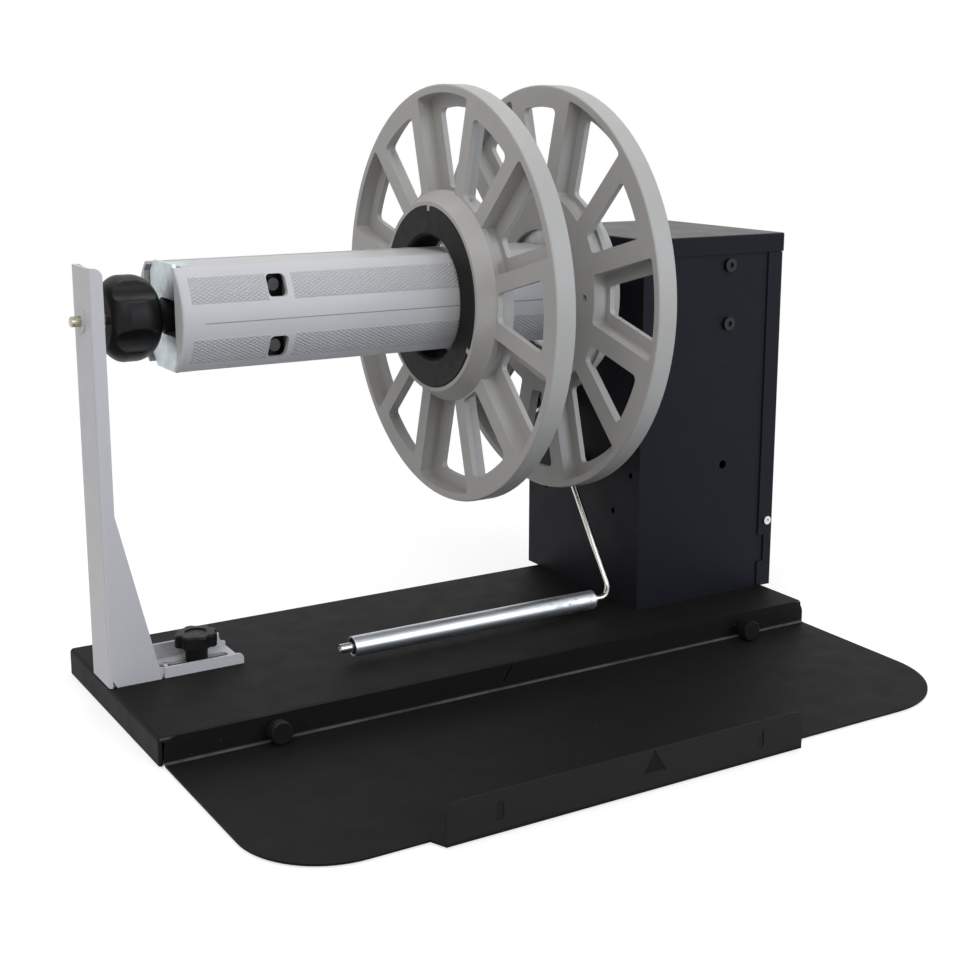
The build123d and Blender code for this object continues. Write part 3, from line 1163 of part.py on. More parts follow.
def chuck_shell(way):
    """One of the two shells that grip the core; way is -1 at the front and 1 at the back."""
    start = LEFT + CHUCK_START
    end = LEFT + CHUCK_SHELL_END
    edge = CHANNEL_HALF_WIDTH + SHELL_GAP
    inner_r = CHUCK_R - SHELL_WALL
    root = inner_r + RAMP_ROOT
    with BuildPart() as shell:
        with BuildSketch(side(start)):
            Circle(CHUCK_R)
            Circle(inner_r, mode=Mode.SUBTRACT)
            with Locations((way * (edge + CHUCK_R) / 2, 0)):
                Rectangle(CHUCK_R - edge, 2 * CHUCK_HALF_HEIGHT, mode=Mode.INTERSECT)
        extrude(amount=end - start)
        fillet(
            shell.edges().group_by(Axis.X)[0].filter_by(GeomType.CIRCLE).sort_by(SortBy.RADIUS)[-1],
            SHELL_EDGE_R,
        )
        for wall in (start, end - SHELL_END_WALL):
            with BuildSketch(side(wall)):
                Circle(CHUCK_R - SHELL_END_INSET)
                with Locations((way * (edge + SHELL_END_CLEAR + CHUCK_R) / 2, 0)):
                    Rectangle(
                        CHUCK_R - edge - SHELL_END_CLEAR, 2 * (CHUCK_HALF_HEIGHT - SHELL_END_INSET),
                        mode=Mode.INTERSECT,
                    )
            extrude(amount=SHELL_END_WALL)
        for wedge_x in WEDGE_X:
            near = WEDGE_MID_HALF - WEDGE_SLOPE * RAMP_LENGTH / 2 + RAMP_GAP
            far = WEDGE_MID_HALF + WEDGE_SLOPE * RAMP_LENGTH / 2 + RAMP_GAP
            with BuildSketch(Plane.XY.offset(SPINDLE_Z - WEDGE_HALF_HEIGHT)):
                with Locations((LEFT + wedge_x, SPINDLE_Y)):
                    Polygon(
                        (-RAMP_LENGTH / 2, way * near), (RAMP_LENGTH / 2, way * far),
                        (RAMP_LENGTH / 2, way * root), (-RAMP_LENGTH / 2, way * root), align=None,
                    )
            extrude(amount=2 * WEDGE_HALF_HEIGHT)
        for rise in (-WINDOW_Z, WINDOW_Z):
            with BuildSketch(Plane(
                origin=(LEFT + WEDGE_X[0], SPINDLE_Y + way * edge, SPINDLE_Z + rise),
                x_dir=(1, 0, 0), z_dir=(0, way, 0),
            )):
                RectangleRounded(WINDOW_LENGTH, WINDOW_HEIGHT, WINDOW_EDGE_R)
            extrude(amount=CHUCK_R, mode=Mode.SUBTRACT)
    return shell


finish(chuck_shell(-1), "chuck_shell_front")
finish(chuck_shell(1), "chuck_shell_back")

with BuildPart() as shell_guide_screws:
    for way in (-1, 1):
        for rise in (-WINDOW_Z, WINDOW_Z):
            spot = (LEFT + WEDGE_X[0], SPINDLE_Z + rise)
            inside = SPINDLE_Y + way * (CHANNEL_HALF_WIDTH - CHANNEL_SHEET - SHELL_SCREW_INSIDE)
            head = SPINDLE_Y + way * (CHANNEL_HALF_WIDTH + SHELL_SCREW_REACH)
            bar_y(sorted((inside, head)), SHELL_SCREW_R, spot)
            bar_y(sorted((head, head + way * SHELL_SCREW_HEAD)), SHELL_SCREW_HEAD_R, spot)
            wall = SPINDLE_Y + way * CHANNEL_HALF_WIDTH
            bar_y(sorted((wall, wall + way * SHELL_WASHER)), SHELL_SCREW_HEAD_R, spot)
finish(shell_guide_screws, "shell_guide_screws")

LIP_FACE = INNER_RING_FACE
with BuildPart() as flange_hub:
    bar_x((LEFT + INNER_FLANGE_X + FLANGE_WALL, LIP_FACE), RING_BORE_R - 2 * FIT)
    bar_x((LIP_FACE, LIP_FACE + FLANGE_HUB_LIP), FLANGE_HUB_LIP_R)
    with BuildSketch(side(LEFT + INNER_FLANGE_X)):
        RectangleRounded(
            2 * (CHANNEL_HALF_WIDTH + CHANNEL_FIT), 2 * (CHUCK_HALF_HEIGHT + CHANNEL_FIT),
            CHANNEL_CORNER_R,
        )
    extrude(amount=CHANNEL_END - INNER_FLANGE_X + CHANNEL_FIT, mode=Mode.SUBTRACT)
    bar_x((LEFT + CHANNEL_END, LIP_FACE + FLANGE_HUB_LIP), SPACER_R + SEAT, SPINDLE, Mode.SUBTRACT)
    with BuildSketch(side(LIP_FACE)):
        with PolarLocations(HUB_SCREW_RADIUS, HUB_SCREWS, start_angle=HUB_SCREW_TURN):
            Circle(HUB_SCREW_R + SCREW_GAP)
    extrude(amount=FLANGE_HUB_LIP, mode=Mode.SUBTRACT)
finish(flange_hub, "flange_hub")

with BuildPart() as flange_hub_screws:
    with BuildSketch(side(LIP_FACE - HUB_SCREW_DEPTH)):
        with PolarLocations(HUB_SCREW_RADIUS, HUB_SCREWS, start_angle=HUB_SCREW_TURN):
            Circle(HUB_SCREW_R)
    extrude(amount=HUB_SCREW_DEPTH + FLANGE_HUB_LIP)
    with BuildSketch(side(LIP_FACE + FLANGE_HUB_LIP)):
        with PolarLocations(HUB_SCREW_RADIUS, HUB_SCREWS, start_angle=HUB_SCREW_TURN):
            Circle(HUB_SCREW_HEAD_R)
    extrude(amount=HUB_SCREW_HEAD)
finish(flange_hub_screws, "flange_hub_screws")

# ------------------------------------------------------------------ support arm
SLOT_START = LEFT + GUIDE_PIN_X - CLAMP_STUD_R - SLOT_GAP
SLOT_END = LEFT + CLAMP_X + CLAMP_STUD_R + SLOT_GAP + ARM_TRAVEL
FOOT_PLATE_TOP = BASE_TOP + ARM_SHEET
LIP_START = LEFT + ARM_FLARE + FOOT_NOTCH
TAIL_TOP = BASE_TOP + FOOT_TAIL
SWEEP_START = (LEFT + FOOT_END - FOOT_BACK_STEP, TAIL_TOP + FOOT_BACK_STEP)
SWEEP_MIDDLE = (
    LEFT + FOOT_END - FOOT_BACK_STEP * cos(radians(45)),
    TAIL_TOP + FOOT_BACK_STEP * (1 - cos(radians(45))),
)
with BuildPart() as support_arm:
    with BuildSketch(face(ARM_FRONT)):
        with BuildLine():
            Polyline(
                (ARM_LEFT, BASE_TOP), (LEFT + FOOT_END, BASE_TOP), (LEFT + FOOT_END, FOOT_PLATE_TOP),
                (LEFT + ARM_FLARE, FOOT_PLATE_TOP), (ARM_LEFT + ARM_LIP, ARM_FLARE_Z),
                (ARM_LEFT + ARM_LIP, ARM_TOP), (ARM_LEFT, ARM_TOP), close=True,
            )
        make_face()
        fillet(vertices().group_by(Axis.Y)[-1].sort_by(Axis.X)[-1], ARM_CORNER_R)
    extrude(amount=-ARM_WIDTH)
    block(
        (ARM_LEFT + ARM_SHEET, LEFT + FOOT_END), (ARM_FRONT + ARM_SHEET, ARM_BACK - ARM_SHEET),
        (FOOT_PLATE_TOP, ARM_TOP), Mode.SUBTRACT,
    )
    with BuildSketch(face(ARM_FRONT)):
        with Locations((LIP_START, BASE_TOP)):
            Rectangle(LEFT + FOOT_END - LIP_START, FOOT_LIP, align=(Align.MIN, Align.MIN))
        fillet(vertices().group_by(Axis.Y)[-1].sort_by(Axis.X)[-1], FOOT_LIP_R)
    extrude(amount=-ARM_SHEET)
    with BuildSketch(face(ARM_BACK - ARM_SHEET)):
        with BuildLine():
            Polyline(
                SWEEP_START, (SWEEP_START[0], BASE_TOP + FOOT_BACK_LIP),
                (LIP_START, BASE_TOP + FOOT_BACK_LIP),
                (LIP_START, BASE_TOP), (LEFT + FOOT_END, BASE_TOP), (LEFT + FOOT_END, TAIL_TOP),
            )
            ThreePointArc((LEFT + FOOT_END, TAIL_TOP), SWEEP_MIDDLE, SWEEP_START)
        make_face()
    extrude(amount=-ARM_SHEET)
    for ends in ((ARM_FRONT, ARM_FRONT + ARM_SHEET), (ARM_BACK - ARM_SHEET, ARM_BACK)):
        block((LEFT + ARM_FLARE, LIP_START), ends, (BASE_TOP, FOOT_PLATE_TOP), Mode.SUBTRACT)
    with BuildSketch(face(ARM_FRONT)):
        with Locations((ARM_LEFT + ARM_SHEET, BASE_TOP)):
            Polygon((0, 0), (ARM_RELIEF, 0), (0, ARM_RELIEF_HEIGHT), align=None)
    extrude(amount=-ARM_WIDTH, mode=Mode.SUBTRACT)
    block(
        (ARM_LEFT + ARM_SHEET, LEFT + ARM_FLARE), (ARM_FRONT + ARM_SHEET, ARM_BACK - ARM_SHEET),
        (BASE_TOP, FOOT_PLATE_TOP),
    )
    fillet(support_arm.faces().filter_by(Axis.X).sort_by(Axis.X)[0].edges().filter_by(Axis.Z), FOLD_R)
    bar_x((ARM_LEFT, ARM_LEFT + ARM_SHEET), BUSH_R + FIT, SPINDLE, Mode.SUBTRACT)
    with BuildSketch(Plane.XY.offset(BASE_TOP)):
        with Locations(((SLOT_START + SLOT_END) / 2, ARM_MID)):
            SlotOverall(SLOT_END - SLOT_START, 2 * (CLAMP_STUD_R + SLOT_GAP))
    extrude(amount=ARM_SHEET, mode=Mode.SUBTRACT)
finish(support_arm, "support_arm")

with BuildPart() as arm_bush:
    bar_x((ARM_LEFT - BUSH_RIM, ARM_LEFT), BUSH_RIM_R)
    bar_x((ARM_LEFT, ARM_LEFT + BUSH_LENGTH), BUSH_R)
    bar_x((ARM_LEFT - BUSH_RIM, ARM_LEFT + BUSH_LENGTH), PIN_R + FIT, SPINDLE, Mode.SUBTRACT)
finish(arm_bush, "arm_bush")

NECK_BOTTOM = BASE_TOP + ARM_SHEET + CLAMP_GAP
KNOB_BOTTOM = NECK_BOTTOM + CLAMP_NECK_HEIGHT
KNOB_TOP = KNOB_BOTTOM + CLAMP_KNOB_HEIGHT
STUD_TOP = KNOB_BOTTOM + CLAMP_STUD_IN
with BuildPart() as clamp_knob:
    bar_z((NECK_BOTTOM, KNOB_BOTTOM), CLAMP_NECK_R, CLAMP)
    with BuildSketch(Plane.XY.offset(KNOB_BOTTOM)):
        with Locations(CLAMP):
            add(lobed(CLAMP_KNOB_R, CLAMP_LOBES, CLAMP_SCOOP_R, CLAMP_BITE))
    extrude(amount=CLAMP_KNOB_HEIGHT)
    fillet(clamp_knob.faces().sort_by(Axis.Z)[-1].edges(), CLAMP_EDGE_R)
    bar_z((KNOB_TOP - CLAMP_DISH, KNOB_TOP), CLAMP_DISH_R, CLAMP, Mode.SUBTRACT)
    bar_z((NECK_BOTTOM, STUD_TOP), CLAMP_STUD_R + FIT, CLAMP, Mode.SUBTRACT)
finish(clamp_knob, "clamp_knob")

with BuildPart() as clamp_stud:
    bar_z((BASE_UNDER - CLAMP_NUT - CLAMP_STUD_BELOW, STUD_TOP), CLAMP_STUD_R, CLAMP)
    chamfer(clamp_stud.edges().group_by(Axis.Z)[0], STUD_CHAMFER)
finish(clamp_stud, "clamp_stud")

# ------------------------------------------------------------------ dancer
ROD_TOP = (
    LEFT + DANCER_X, PIVOT[0] + ROD_DIR[0] * ROD_FROM_PIVOT, PIVOT[1] + ROD_DIR[1] * ROD_FROM_PIVOT
)
PIVOT_HEAD_FACE = LEFT + DANCER_HUB_START - SEAT
with BuildPart() as dancer_rod:
    with BuildLine() as route:
        FilletPolyline(
            ROD_TOP,
            (LEFT + DANCER_X, ROLLER[0], ROLLER[1]),
            (LEFT + ROD_END, ROLLER[0], ROLLER[1]),
            radius=ROD_BEND_R,
        )
    with BuildSketch(Plane(origin=route.line @ 0, z_dir=route.line % 0)):
        Circle(ROD_R)
    sweep()
finish(dancer_rod, "dancer_rod")

with BuildPart() as dancer_hub:
    bar_x((LEFT + DANCER_HUB_START, HOUSING_LEFT - SEAT), DANCER_HUB_R, PIVOT)
    bar_x((LEFT + DANCER_HUB_START, HOUSING_LEFT - SEAT), PIVOT_R + FIT, PIVOT, Mode.SUBTRACT)
    with BuildSketch(Plane(origin=ROD_TOP, z_dir=(0, ROD_DIR[0], ROD_DIR[1]))):
        Circle(ROD_R + PRESS_GAP)
    extrude(amount=DANCER_HUB_R, mode=Mode.SUBTRACT)
finish(dancer_hub, "dancer_hub")

with BuildPart() as dancer_pivot_bolt:
    bar_x((PIVOT_HEAD_FACE, INNER_LEFT + PIVOT_BOSS), PIVOT_R, PIVOT)
    bar_x((PIVOT_HEAD_FACE - PIVOT_HEAD, PIVOT_HEAD_FACE), PIVOT_HEAD_R, PIVOT)
    with BuildSketch(side(PIVOT_HEAD_FACE - PIVOT_HEAD, PIVOT)):
        RegularPolygon(PIVOT_HEAD_R * SOCKET_SHARE, 6)
    extrude(amount=PIVOT_HEAD * SOCKET_DEPTH_SHARE, mode=Mode.SUBTRACT)
finish(dancer_pivot_bolt, "dancer_pivot_bolt")

with BuildPart() as dancer_stop:
    bar_x((LEFT + DANCER_X - STOP_PAST_ROD, HOUSING_LEFT), STOP_R, STOP)
    fillet(dancer_stop.edges().group_by(Axis.X)[0], STOP_EDGE_R)
    bar_x((HOUSING_LEFT, INNER_LEFT + STOP_SCREW_IN), STOP_SCREW_R, STOP)
finish(dancer_stop, "dancer_stop")

with BuildPart() as dancer_roller:
    bar_x((LEFT + ROLLER_START, LEFT + ROLLER_END), ROLLER_R, ROLLER)
    bar_x((LEFT + ROLLER_START, LEFT + ROLLER_END), ROLLER_R - ROLLER_WALL, ROLLER, Mode.SUBTRACT)
    fillet(dancer_roller.edges().group_by(Axis.X)[0], ROLLER_EDGE_R)
    fillet(dancer_roller.edges().group_by(Axis.X)[-1], ROLLER_EDGE_R)
finish(dancer_roller, "dancer_roller")

with BuildPart() as roller_bushes:
    for ends in (
        (LEFT + ROLLER_START + BUSH_INSET, LEFT + ROLLER_START + BUSH_INSET + ROLLER_BUSH),
        (LEFT + ROLLER_END - BUSH_INSET - ROLLER_BUSH, LEFT + ROLLER_END - BUSH_INSET),
    ):
        bar_x(ends, ROLLER_R - ROLLER_WALL - PRESS_GAP, ROLLER)
        bar_x(ends, ROD_R + FIT, ROLLER, Mode.SUBTRACT)
finish(roller_bushes, "roller_bushes")

with BuildPart() as roller_collars:
    for ends in (
        (LEFT + ROD_END - COLLAR_LENGTH / 2, LEFT + ROLLER_START - COLLAR_GAP),
        (LEFT + ROLLER_END + SEAT, LEFT + ROLLER_END + SEAT + COLLAR_LENGTH),
    ):
        bar_x(ends, COLLAR_RADIUS, ROLLER)
        bar_x(ends, ROD_R + PRESS_GAP, ROLLER, Mode.SUBTRACT)
finish(roller_collars, "roller_collars")

# ------------------------------------------------------------------ crank
with BuildPart() as crank_arm:
    bar_x((CRANK_START, CRANK_FACE), CRANK_HUB_R)
    chamfer(crank_arm.edges(), CRANK_CHAMFER)
    with BuildSketch(side(CRANK_ARM_START)):
        with BuildLine():
            Polyline(
                (0, CRANK_HUB_R - CRANK_CHAMFER), (CRANK_RADIUS, CRANK_ARM_END_R),
                (CRANK_RADIUS, -CRANK_ARM_END_R), (0, CRANK_CHAMFER - CRANK_HUB_R), close=True,
            )
        make_face()
        with Locations((CRANK_RADIUS, 0)):
            Circle(CRANK_ARM_END_R)
    extrude(amount=CRANK_ARM)
    bar_x((CRANK_START, SHAFT_END), SHAFT_R + FIT, SPINDLE, Mode.SUBTRACT)
    bar_x((SHAFT_END, CRANK_FACE), CRANK_BOLT_R + SCREW_GAP, SPINDLE, Mode.SUBTRACT)
    bar_x((CRANK_ARM_START, CRANK_ARM_START + CRANK_ARM), GRIP_AXLE_R + FIT, GRIP_AT, Mode.SUBTRACT)
finish(crank_arm, "crank_arm")

with BuildPart() as crank_bolt:
    bar_x((CRANK_FACE - CRANK_BOLT_LENGTH + CRANK_BOLT_ROOM, CRANK_FACE), CRANK_BOLT_R)
    with BuildSketch(side(CRANK_FACE)):
        RegularPolygon(CRANK_BOLT_HEAD_R, 6)
    extrude(amount=CRANK_BOLT_HEAD)
finish(crank_bolt, "crank_bolt")

GRIP_BORE = GRIP_AXLE_R + GRIP_BORE_GAP
GRIP_NECK = (GRIP_LENGTH - GRIP_ROUNDING, GRIP_NECK_R)
with BuildPart() as crank_grip:
    with BuildSketch(along(GRIP_START, GRIP_AT)):
        with BuildLine():
            Line((0, GRIP_BORE), (0, GRIP_START_R))
            ThreePointArc((0, GRIP_START_R), (GRIP_BELLY, GRIP_R), GRIP_NECK)
            ThreePointArc(
                GRIP_NECK, (GRIP_LENGTH - GRIP_ROUNDING / 4, GRIP_SHOULDER_R), (GRIP_LENGTH, GRIP_END_R)
            )
            Polyline((GRIP_LENGTH, GRIP_END_R), (GRIP_LENGTH, GRIP_BORE), (0, GRIP_BORE))
        make_face()
    revolve(axis=Axis((0, GRIP_AT[0], GRIP_AT[1]), (1, 0, 0)))
finish(crank_grip, "crank_grip")

with BuildPart() as grip_axle:
    bar_x((CRANK_ARM_START, GRIP_END + SEAT), GRIP_AXLE_R, GRIP_AT)
    bar_x((GRIP_END + SEAT, GRIP_END + SEAT + GRIP_HEAD), GRIP_HEAD_R, GRIP_AT)
    fillet(grip_axle.edges().group_by(Axis.X)[-1], GRIP_HEAD / 3)
finish(grip_axle, "grip_axle")

# ------------------------------------------------------------------ files
os.makedirs("parts", exist_ok=True)
for piece in NODES:
    export_step(piece, f"parts/{piece.label}.step")
print(len(NODES), "nodes; spindle", SPINDLE, "pivot", PIVOT, "roller", ROLLER, "clamp", CLAMP)
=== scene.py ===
import math

import bpy
from mathutils import Matrix, Vector


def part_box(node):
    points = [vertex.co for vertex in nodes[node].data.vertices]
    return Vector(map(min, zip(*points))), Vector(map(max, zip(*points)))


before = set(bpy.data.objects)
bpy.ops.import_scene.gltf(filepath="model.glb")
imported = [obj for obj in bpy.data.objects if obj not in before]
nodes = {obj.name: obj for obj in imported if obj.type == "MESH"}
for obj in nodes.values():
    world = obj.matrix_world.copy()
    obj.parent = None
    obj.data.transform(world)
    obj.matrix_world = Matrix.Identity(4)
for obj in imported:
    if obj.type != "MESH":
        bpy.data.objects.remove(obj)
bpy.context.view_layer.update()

# ------------------------------------------------------------------ places on the CAD model, metres
SPINDLE_Y = 0.06285
SPINDLE_Z = 0.2259
CHUCK_R = 0.0376
WINDOW_X = -0.16625                 # middle of the shells' windows
WINDOW_RISE = 0.0174                # from the spindle up or down to a window's middle
BASE_FRONT_Y = -0.03685
BASE_TOP_Z = 0.0168
SHELF_TOP_Z = 0.0022
FENCE_BACK_Y = BASE_FRONT_Y - 0.1548
HOUSING_TOP_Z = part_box("housing_cap")[1][2]

# ------------------------------------------------------------------ the chuck shells' knurl, metres
KNURL_PITCH = 0.0036
KNURL_SLANT = 1.7                   # how steeply its lines climb round the shell
KNURL_ENDS_X = (-0.2180, 0.0205)
KNURL_GAP_X = (-0.1727, -0.1563)    # left smooth round the windows
KNURL_ARC = (0.0098, 0.0262)        # from the shell's middle, measured round it
KNURL_DEPTH = 0.00045
SOFT_EDGE = 0.0006
LINE_ARC = -0.0012                  # the engraved line, from the shell's middle
LINE_START_X = -0.2115

# ------------------------------------------------------------------ colours of specks, and of painted highlights and painted shade, linear RGB
BLACK_SPECKS = (0.12, 0.11, 0.10)
HOUSING_SPECKS = (0.11, 0.11, 0.12)
# painted highlight along folds
PAINTED_FOLD_HIGHLIGHT = (0.10, 0.10, 0.105)
# painted highlight on a top face, warm
TOP_SHEEN = (0.085, 0.078, 0.068)
# painted shade behind the chuck shells' windows
WINDOW_SHADE_PAINT = (0.008, 0.008, 0.008)

# ------------------------------------------------------------------ grain of metals, per axis
DRAWN = (30.0, 900.0, 900.0)        # lines along the spindle's direction
TURNED = (1600.0, 14.0, 14.0)       # rings round the spindle's direction
UPRIGHT = (900.0, 900.0, 30.0)
MILLED = (60.0, 1200.0, 60.0)
EVEN = (60.0, 60.0, 60.0)


# ------------------------------------------------------------------ material helpers
class Nodes:
    """Adds shader nodes to one tree and joins them."""

    def __init__(self, tree):
        self.tree = tree

    def node(self, kind, **values):
        made = self.tree.nodes.new(kind)
        for key, value in values.items():
            setattr(made, key, value)
        return made

    def link(self, source, target):
        self.tree.links.new(source, target)

    def feed(self, socket, value):
        """Links a socket to another node's output, or sets it to a number or an RGB colour."""
        if isinstance(value, bpy.types.NodeSocket):
            self.link(value, socket)
        elif isinstance(value, tuple):
            socket.default_value = (*value, 1.0)
        else:
            socket.default_value = value

    def math(self, operation, a, b=0.0, c=0.0):
        made = self.node("ShaderNodeMath", operation=operation)
        for socket, value in zip(made.inputs, (a, b, c)):
            self.feed(socket, value)
        return made.outputs[0]

    def product(self, first, second):
        return self.math("MULTIPLY", first, second)

    def away(self, value, place):
        """How far a value is from a place, on either side."""
        return self.math("ABSOLUTE", self.math("SUBTRACT", value, place))

    def span(self, value, low, high, to_low=0.0, to_high=1.0, curve="LINEAR"):
        """Maps low to to_low and high to to_high, and stays at those past them."""
        made = self.node("ShaderNodeMapRange", clamp=True, interpolation_type=curve)
        limits = {"From Min": low, "From Max": high, "To Min": to_low, "To Max": to_high}
        for key, number in limits.items():
            made.inputs[key].default_value = number
        self.feed(made.inputs["Value"], value)
        return made.outputs[0]

    def between(self, value, ends):
        """1 between two ends, with a soft edge just inside each."""
        low, high = ends
        return self.product(
            self.span(value, low, low + SOFT_EDGE), self.span(value, high, high - SOFT_EDGE)
        )

    def shader_of(self, kind, colour, strength=None):
        made = self.node(kind)
        self.feed(made.inputs["Color"], colour)
        if strength is not None:
            self.feed(made.inputs["Strength"], strength)
        return made.outputs[0]

    def join_shaders(self, kind, *values):
        """A Mix Shader or Add Shader node, with its sockets filled in order."""
        made = self.node(kind)
        for socket, value in zip(made.inputs, values):
            self.link(value, socket)
        return made.outputs[0]


class Surface(Nodes):
    """One procedural material: a Principled shader with its colour, roughness and bump from nodes."""

    def __init__(self, name, roughness, metallic=0.0, specular=0.5):
        self.material = bpy.data.materials.new(name)
        self.material.use_nodes = True
        super().__init__(self.material.node_tree)
        self.shader = self.tree.nodes["Principled BSDF"]
        self.shader.inputs["Roughness"].default_value = roughness
        self.shader.inputs["Metallic"].default_value = metallic
        self.shader.inputs["Specular IOR Level"].default_value = specular
        self.place = self.node("ShaderNodeTexCoord").outputs["Object"]
        self.normal = None

    def axis(self, letter):
        split = self.node("ShaderNodeSeparateXYZ")
        self.link(self.place, split.inputs[0])
        return split.outputs[letter]

    def scaled(self, x, y, z):
        """The object's own coordinates, stretched along the axes."""
        mapping = self.node("ShaderNodeMapping")
        mapping.inputs["Scale"].default_value = (x, y, z)
        self.link(self.place, mapping.inputs["Vector"])
        return mapping.outputs[0]

    def noise(self, scale, detail=2.0, roughness=0.5, place=None, distortion=0.0):
        made = self.node("ShaderNodeTexNoise")
        made.inputs["Scale"].default_value = scale
        made.inputs["Detail"].default_value = detail
        made.inputs["Roughness"].default_value = roughness
        made.inputs["Distortion"].default_value = distortion
        self.link(place or self.place, made.inputs["Vector"])
        return made.outputs["Fac"]

    def spots(self, scale, radius, share):
        """Small round marks: a share of a scattered pattern's cells, each of that radius in cells."""
        made = self.node("ShaderNodeTexVoronoi")
        made.inputs["Scale"].default_value = scale
        self.link(self.place, made.inputs["Vector"])
        split = self.node("ShaderNodeSeparateColor")
        self.link(made.outputs["Color"], split.inputs[0])
        chosen = self.math("LESS_THAN", split.outputs[0], share)
        inside = self.span(made.outputs["Distance"], radius, radius * 0.4)
        return self.product(chosen, inside)

    def mix(self, share, first, second):
        made = self.node("ShaderNodeMix", data_type="RGBA")
        factor, colour_a, colour_b = (made.inputs[number] for number in (0, 6, 7))
        self.feed(factor, share)
        self.feed(colour_a, first)
        self.feed(colour_b, second)
        return made.outputs[2]

    def colour(self, value):
        self.feed(self.shader.inputs["Base Color"], value)

    def rough(self, value):
        self.feed(self.shader.inputs["Roughness"], value)

    def bump(self, height, depth, strength):
        """Adds relief of that depth in metres, on top of any relief so far."""
        made = self.node("ShaderNodeBump")
        made.inputs["Strength"].default_value = strength
        made.inputs["Distance"].default_value = depth
        self.link(height, made.inputs["Height"])
        if self.normal is not None:
            self.link(self.normal, made.inputs["Normal"])
        self.normal = made.outputs[0]
        self.link(self.normal, self.shader.inputs["Normal"])


def shade(colour, factor):
    return tuple(channel * factor for channel in colour)


def powder_coat(
    name, colour, roughness, specular=0.32, grain=0.00012, specks=None, contrast=0.16,
    fold=None, fence=None, sheen_top=None,
):
    """Sprayed and baked coat: fine pebbled relief, faint mottling and small pale specks.

    fold is the Y, Z and reach of a fold painted paler as a highlight. fence is the Y in front of which,
    and the Z above which, the coat is painted paler as the light on the fence's face. The last argument
    is the height of a top face painted paler, warmer and shinier as a highlight.
    """
    s = Surface(name, roughness, specular=specular)
    fine = s.noise(1500.0, 3.0, 0.6)
    broad = s.noise(14.0, 4.0, 0.55)
    body = s.mix(s.span(fine, 0.3, 0.7), shade(colour, 1.0 - contrast), shade(colour, 1.0 + contrast))
    body = s.mix(s.span(broad, 0.35, 0.7, 0.0, contrast), body, shade(colour, 1.3))
    if specks:
        scattered = s.math("MAXIMUM", s.spots(230.0, 0.085, 0.16), s.spots(700.0, 0.16, 0.05))
        body = s.mix(s.product(scattered, 0.55), body, specks)
    if fold:
        y, z, reach = fold
        # A band along the fold is painted paler: a painted highlight, broken up by noise.
        off = s.math("ADD", s.away(s.axis("Y"), y), s.away(s.axis("Z"), z))
        fold_highlight_band = s.span(off, reach, reach * 0.45)
        patchy = s.span(s.noise(90.0, 4.0, 0.7, s.scaled(0.35, 1.0, 1.0)), 0.3, 0.6, 0.25, 0.8)
        body = s.mix(s.product(fold_highlight_band, patchy), body, PAINTED_FOLD_HIGHLIGHT)
    if fence:
        y, z = fence
        # Painted light: the fence's face is painted paler, standing in for the light falling on it.
        fence_face_light = s.product(s.span(s.axis("Y"), y + 0.0003, y), s.span(s.axis("Z"), z, z + 0.001))
        body = s.mix(fence_face_light, body, shade(colour, 2.1))
    if sheen_top:
        # Painted highlight: the top face is painted paler and warmer, with more specular.
        top_face = s.span(s.axis("Z"), sheen_top - 0.0006, sheen_top - 0.0002)
        body = s.mix(s.product(top_face, s.span(broad, 0.25, 0.75, 0.2, 0.5)), body, TOP_SHEEN)
        s.feed(s.shader.inputs["Specular IOR Level"], s.span(top_face, 0.0, 1.0, specular, 0.3))
    s.colour(body)
    s.rough(s.span(s.noise(60.0, 3.0), 0.3, 0.7, roughness - 0.03, roughness + 0.04))
    s.bump(s.noise(320.0, 2.0), grain * 1.4, 0.35)
    s.bump(fine, grain, 0.8)
    return s.material


def moulded(name, colour, roughness, specular, grain=0.00004):
    """Moulded plastic: faint flow marks, a fine spark texture and slight handling marks."""
    stain = 0.25
    s = Surface(name, roughness, specular=specular)
    flow = s.noise(26.0, 4.0, 0.6, s.scaled(1.0, 1.6, 0.7), 0.4)
    body = s.mix(s.span(flow, 0.35, 0.68, 0.0, stain), colour, shade(colour, 0.86))
    smear = s.noise(9.0, 5.0, 0.7)
    body = s.mix(s.span(smear, 0.52, 0.72, 0.0, stain), body, shade(colour, 1.1))
    s.colour(body)
    s.rough(s.span(s.noise(120.0, 3.0), 0.3, 0.7, roughness - 0.05, roughness + 0.06))
    s.bump(s.noise(2600.0, 2.0), grain, 0.6)
    return s.material


def metal(name, colour, roughness, lines, blotch=0.12):
    """Bare or plated metal, with fine tool lines where it was turned, drawn or milled."""
    grain = 0.00001
    s = Surface(name, roughness, metallic=1.0)
    worn = s.noise(85.0, 5.0, 0.65)
    dull, bright = shade(colour, 1.0 - blotch), shade(colour, 1.0 + blotch)
    s.colour(s.mix(s.span(worn, 0.35, 0.7), dull, bright))
    s.rough(s.span(s.noise(240.0, 4.0), 0.3, 0.72, roughness - 0.06, roughness + 0.1))
    s.bump(s.noise(1.0, 3.0, 0.7, s.scaled(*lines)), grain * 2, 0.7)
    s.bump(s.noise(1800.0, 2.0), grain, 0.5)
    return s.material


